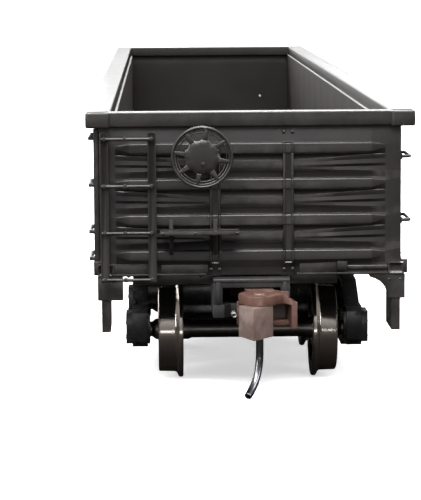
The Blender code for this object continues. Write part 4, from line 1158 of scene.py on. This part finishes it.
def wheelsets():
    pattern = wheel_pattern()
    for number in range(1, 5):
        body = f"wheelset_{number}"
        for side, facing_turn in (("right", Matrix.Identity(4)), ("left", HALF_TURN)):
            name = f"wheel_{number}_{side}"
            low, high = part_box(name)
            inside = low.x if side == "right" else high.x
            place = moved(inside, (low.y + high.y) / 2, (low.z + high.z) / 2) @ facing_turn
            show(copy_of(pattern, f"turned_wheel_{number}_{side}", place), "wheel_nickel", body, [name])
        low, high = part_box(f"axle_{number}")
        centre = (low + high) / 2
        tip = (high.x - low.x) / 2
        radius = (high.z - low.z) / 2
        neck = radius * 0.72
        half = [(0.0, tip), (0.12 * MM, tip - 0.1 * MM), (neck, tip - 1.7 * MM), (neck, 10.7 * MM),
                (radius - 0.1 * MM, 10.4 * MM), (radius, 10.2 * MM), (radius, 6.6 * MM),
                (radius - 0.16 * MM, 6.2 * MM)]
        profile = half + [(r, -x) for r, x in reversed(half)]
        shaft = smooth(lathe(f"turned_axle_{number}", profile, centre, (1, 0, 0), 40), 32)
        show(shaft, "axle_steel", body, [f"axle_{number}"])
    bpy.data.objects.remove(pattern)


def coil_spring(name, x, y, low, high, radius, wire, turns):
    steps = 12
    count = turns * steps
    line = [(x + radius * cos(2 * pi * i / steps), y + radius * sin(2 * pi * i / steps),
             low + (high - low) * i / count)
            for i in range(count + 1)]
    return bent_rod(name, line, wire)


def side_frame(end, side):
    """Cast frame with a sunk web, journal lids, column bolts and a nest of springs under the bolster."""
    name = f"truck_{end}_sideframe_{side}"
    low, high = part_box(name)
    out = -1 if side == "left" else 1
    outer = low.x if side == "left" else high.x
    centre_y = (low.y + high.y) / 2
    face = outer - out * 0.7 * MM
    axle_z = low.z + 3.0 * MM
    frame_piece = from_node("cast_" + name, name, 0.0)
    edit_with(frame_piece, "FACE", lambda f: f.normal.x * out > 0.9 and abs(f.center.x - face) < 0.25 * MM)
    bpy.ops.mesh.inset(thickness=0.28 * MM, depth=0.0)
    bpy.ops.transform.translate(value=(-out * 0.32 * MM, 0, 0))
    close_edit()
    parts = [soften(frame_piece, 0.09 * MM)]
    for end_side in (-1, 1):
        y = centre_y + end_side * AXLE_REACH
        lid = block("journal_lid", (outer, y - 1.15 * MM, axle_z - 1.2 * MM),
                    (outer - out * 0.35 * MM, y + 1.15 * MM, axle_z + 1.2 * MM))
        sink(lid, (out, 0, 0), 0.3 * MM, 0.1 * MM)
        parts.append(soften(lid, 0.1 * MM, 3))
        hinge_x = outer - out * 0.15 * MM
        parts.append(soft_rod("lid_hinge", (hinge_x, y - 0.7 * MM, axle_z + 1.35 * MM),
                              (hinge_x, y + 0.7 * MM, axle_z + 1.35 * MM), 0.2 * MM, 12, 0.05 * MM))
        for dy in (-0.8, 0.8):
            for dz in (-0.85, 0.8):
                place = (outer - out * 0.02 * MM, y + dy * MM, axle_z + dz * MM)
                parts.append(dome("lid_bolt", place, 0.16 * MM, 0.12 * MM, (out, 0, 0)))
        for height in (-0.6, 1.2, 3.0):
            place = (face - out * 0.3 * MM, centre_y + end_side * 3.45 * MM, axle_z + height * MM)
            parts.append(dome("column_bolt", place, 0.2 * MM, 0.3 * MM, (out, 0, 0)))
    spring_x = outer - out * 1.5 * MM
    for dy in (-1.75, 0.0, 1.75):
        parts.append(coil_spring("spring", spring_x, centre_y + dy * MM, axle_z - 1.85 * MM,
                                 axle_z + 2.0 * MM, 0.62 * MM, 0.15 * MM, 6))
    show(joined("cast_" + name, parts), "truck_black", "truck_" + end, [name])


def truck_bolster(end):
    """Bolster with brake beams, and a shoe hung close to each wheel's tread."""
    name = f"truck_{end}_bolster"
    low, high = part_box(name)
    centre_y = (low.y + high.y) / 2
    parts = [from_node("cast_" + name, name, 0.1 * MM, 3)]
    wheel_low, wheel_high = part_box("wheel_1_right")
    axle_z = (wheel_low.z + wheel_high.z) / 2
    shoe_face = 5.0 * MM
    shoe_back = 5.75 * MM
    for toward in (-1, 1):
        axle_y = centre_y + toward * AXLE_REACH
        beam_y = centre_y + toward * 3.55 * MM
        for side in (-1, 1):
            x = sorted((side * 8.25 * MM, side * 9.6 * MM))
            outline = []
            for radius, angles in ((shoe_face, range(-22, 23, 11)), (shoe_back, range(22, -23, -11))):
                for angle in angles:
                    outline.append((x[0], axle_y - toward * radius * cos(radians(angle)),
                                    axle_z + radius * sin(radians(angle))))
            parts.append(soften(plate("brake_shoe", outline, (x[1] - x[0], 0, 0)), 0.08 * MM))
            parts.append(soft_block(
                "shoe_arm", (side * 6.4 * MM, beam_y - toward * 0.3 * MM, axle_z - 0.3 * MM),
                (side * 9.3 * MM, beam_y + toward * 0.6 * MM, axle_z + 0.3 * MM), 0.08 * MM))
        parts.append(soft_block("brake_beam", (-8.6 * MM, beam_y - toward * 0.2 * MM, axle_z - 0.3 * MM),
                                (8.6 * MM, beam_y + toward * 0.5 * MM, axle_z + 1.85 * MM), 0.12 * MM, 3))
    show(joined("cast_" + name, parts), "truck_black", "truck_" + end, [name])


# ---- Underframe and air brake ----
def underframe():
    """Deck, centre sill and bearers, with light cross ribs in line with the side posts and two stringers."""
    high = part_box("underframe")[1]
    deck_bottom = high.z - 0.55 * MM
    parts = [from_node("under_deck", "underframe", 0.1 * MM)]
    for y in side_post_places():
        for side in (-1, 1):
            parts.append(soft_block("cross_rib", (side * 3.1 * MM, y - 0.25 * MM, deck_bottom - 0.25 * MM),
                                    (side * (high.x - 0.3 * MM), y + 0.25 * MM, deck_bottom + 0.1 * MM),
                                    0.07 * MM))
    for side in (-1, 1):
        parts.append(soft_block("stringer", (side * (high.x - 0.5 * MM), -60 * MM, deck_bottom - 0.9 * MM),
                                (side * (high.x - 1.1 * MM), 60 * MM, deck_bottom + 0.1 * MM), 0.08 * MM))
    show(joined("under_deck", parts), "frame_black", replaces=["underframe"])


def banded(name, cad_node, angle, rise, radius, thickness, places):
    """A round vessel that lies along the car, with a raised band at each place."""
    low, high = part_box(cad_node)
    parts = [from_node(name, cad_node, 0.08 * MM, 2, angle)]
    for y in places:
        parts.append(ring("band", ((low.x + high.x) / 2, y, low.z + rise), radius, thickness, 40, 8))
    show(joined(name, parts), "frame_black", replaces=[cad_node])


def air_brake():
    banded("air_cylinder", "brake_cylinder", 35, 1.8 * MM, 1.8 * MM, 0.16 * MM, (-13.4 * MM, -6.7 * MM))
    low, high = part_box("air_reservoir")
    banded("air_tank", "air_reservoir", 50, 2.2 * MM, 2.17 * MM, 0.07 * MM,
           (low.y + 1.8 * MM, high.y - 1.8 * MM))
    low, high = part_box("control_valve")
    valve = [from_node("air_valve", "control_valve", 0.09 * MM)]
    for y in (low.y + 1.6 * MM, high.y - 0.5 * MM):
        valve.append(dome("valve_bolt", (low.x + 0.01 * MM, y, high.z - 0.8 * MM), 0.2 * MM, 0.15 * MM,
                          (-1, 0, 0)))
    show(joined("air_valve", valve), "frame_black", replaces=["control_valve"])
    show(from_node("air_rod", "brake_rod", 0.04 * MM), "frame_black", replaces=["brake_rod"])


# ---- Stage, light and camera ----
def pale_floor():
    """Pale floor. The camera sees it near white and softly glowing, and to the car it is as dark as track."""
    level = min(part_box(name)[0].z for name in frame["nodes"])
    fresh()
    bpy.ops.mesh.primitive_plane_add(size=6.0, location=(0, 0, level - 0.02 * MM))
    ground = new_piece("studio_floor")
    mat = bpy.data.materials.new("pale floor")
    mat.use_nodes = True
    tree = mat.node_tree
    shader = tree.nodes["Principled BSDF"]
    seen = node(tree, "ShaderNodeLightPath").outputs["Is Camera Ray"]
    pale = (0.93, 0.93, 0.93)
    track_dark = (0.011, 0.009, 0.008)
    tree.links.new(blended(tree, seen, track_dark, pale), shader.inputs["Base Color"])
    tree.links.new(blended(tree, seen, (0.0, 0.0, 0.0), (1.0, 1.0, 1.0)), shader.inputs["Emission Color"])
    shader.inputs["Emission Strength"].default_value = 0.55
    shader.inputs["Roughness"].default_value = 0.9
    shader.inputs["Specular IOR Level"].default_value = 0.1
    ground.data.materials.append(mat)


def soft_light(name, place, aim, width, height, power):
    data = bpy.data.lights.new(name, "AREA")
    data.shape = "RECTANGLE"
    data.size = width
    data.size_y = height
    data.energy = power
    lamp = bpy.data.objects.new(name, data)
    bpy.context.scene.collection.objects.link(lamp)
    place = Vector(place)
    aimed = (Vector(aim) - place).to_track_quat("-Z", "Y").to_matrix().to_4x4()
    lamp.matrix_world = Matrix.Translation(place) @ aimed


def studio():
    """White surround, brighter overhead, with soft lights above, at both sides, low in front and behind."""
    world = bpy.data.worlds.new("white studio")
    bpy.context.scene.world = world
    world.use_nodes = True
    tree = world.node_tree
    background = tree.nodes["Background"]
    direction = node(tree, "ShaderNodeTexCoord").outputs["Generated"]
    parts = node(tree, "ShaderNodeSeparateXYZ")
    tree.links.new(direction, parts.inputs["Vector"])
    lift = spread(tree, parts.outputs["Z"], 0.0, 0.75, 0.06, 0.90)
    seen = node(tree, "ShaderNodeLightPath").outputs["Is Camera Ray"]
    strength = sums(tree, "ADD", sums(tree, "MULTIPLY", lift, sums(tree, "SUBTRACT", 1.0, seen)),
                    sums(tree, "MULTIPLY", seen, 1.3))
    background.inputs["Color"].default_value = (1.0, 1.0, 1.0, 1.0)
    tree.links.new(strength, background.inputs["Strength"])
    soft_light("overhead", (-0.08, -0.52, 0.62), (0, -0.08, 0.02), 0.6, 0.3, 11.0)
    soft_light("left_side", (-0.70, -0.40, 0.42), (0, -0.09, 0.02), 0.25, 0.6, 5.0)
    soft_light("right_side", (0.70, -0.40, 0.42), (0, -0.09, 0.02), 0.25, 0.6, 4.0)
    soft_light("front_low", (-0.05, -1.60, 0.035), (0, -0.09, 0.02), 1.6, 0.05, 1.8)
    soft_light("behind_above", (-0.1, 0.75, 0.60), (0, -0.09, 0.03), 0.9, 0.35, 22.0)
    soft_light("behind_left", (-0.9, 1.40, 0.30), (0, -0.09, 0.03), 1.2, 0.5, 10.0)
    bpy.context.scene.view_settings.view_transform = "Standard"


def camera():
    """Low and close in front of the brake end, looking slightly down the length of the car."""
    yaw = radians(1.31)
    pitch = radians(7.40)
    roll = radians(-0.38)
    forward = Vector((sin(yaw) * cos(pitch), cos(yaw) * cos(pitch), -sin(pitch)))
    right = Vector((cos(yaw), -sin(yaw), 0.0))
    up = right.cross(forward)
    turned_right = cos(roll) * right + sin(roll) * up
    turned_up = -sin(roll) * right + cos(roll) * up
    data = bpy.data.cameras.new("camera")
    data.lens = 158.1
    data.sensor_width = 36.0
    data.clip_start = 0.01
    data.clip_end = 20.0
    eye = bpy.data.objects.new("camera", data)
    bpy.context.scene.collection.objects.link(eye)
    place = Vector((-0.00964, -0.32538, 0.04563))
    eye.matrix_world = Matrix((
        (turned_right.x, turned_up.x, -forward.x, place.x),
        (turned_right.y, turned_up.y, -forward.y, place.y),
        (turned_right.z, turned_up.z, -forward.z, place.z),
        (0.0, 0.0, 0.0, 1.0)))
    bpy.context.scene.camera = eye


finish_cad_nodes()
body_end()
body_sides()
top_chord()
load_floor()
brake_wheel()
brake_housing()
brake_step()
end_ladder()
side_ladder()
grab_irons()
corner_steps()
draft_gear()
for end in ("b", "a"):
    coupler(end)
    truck_bolster(end)
    for side in ("left", "right"):
        side_frame(end, side)
wheelsets()
underframe()
air_brake()
pale_floor()
studio()
camera()
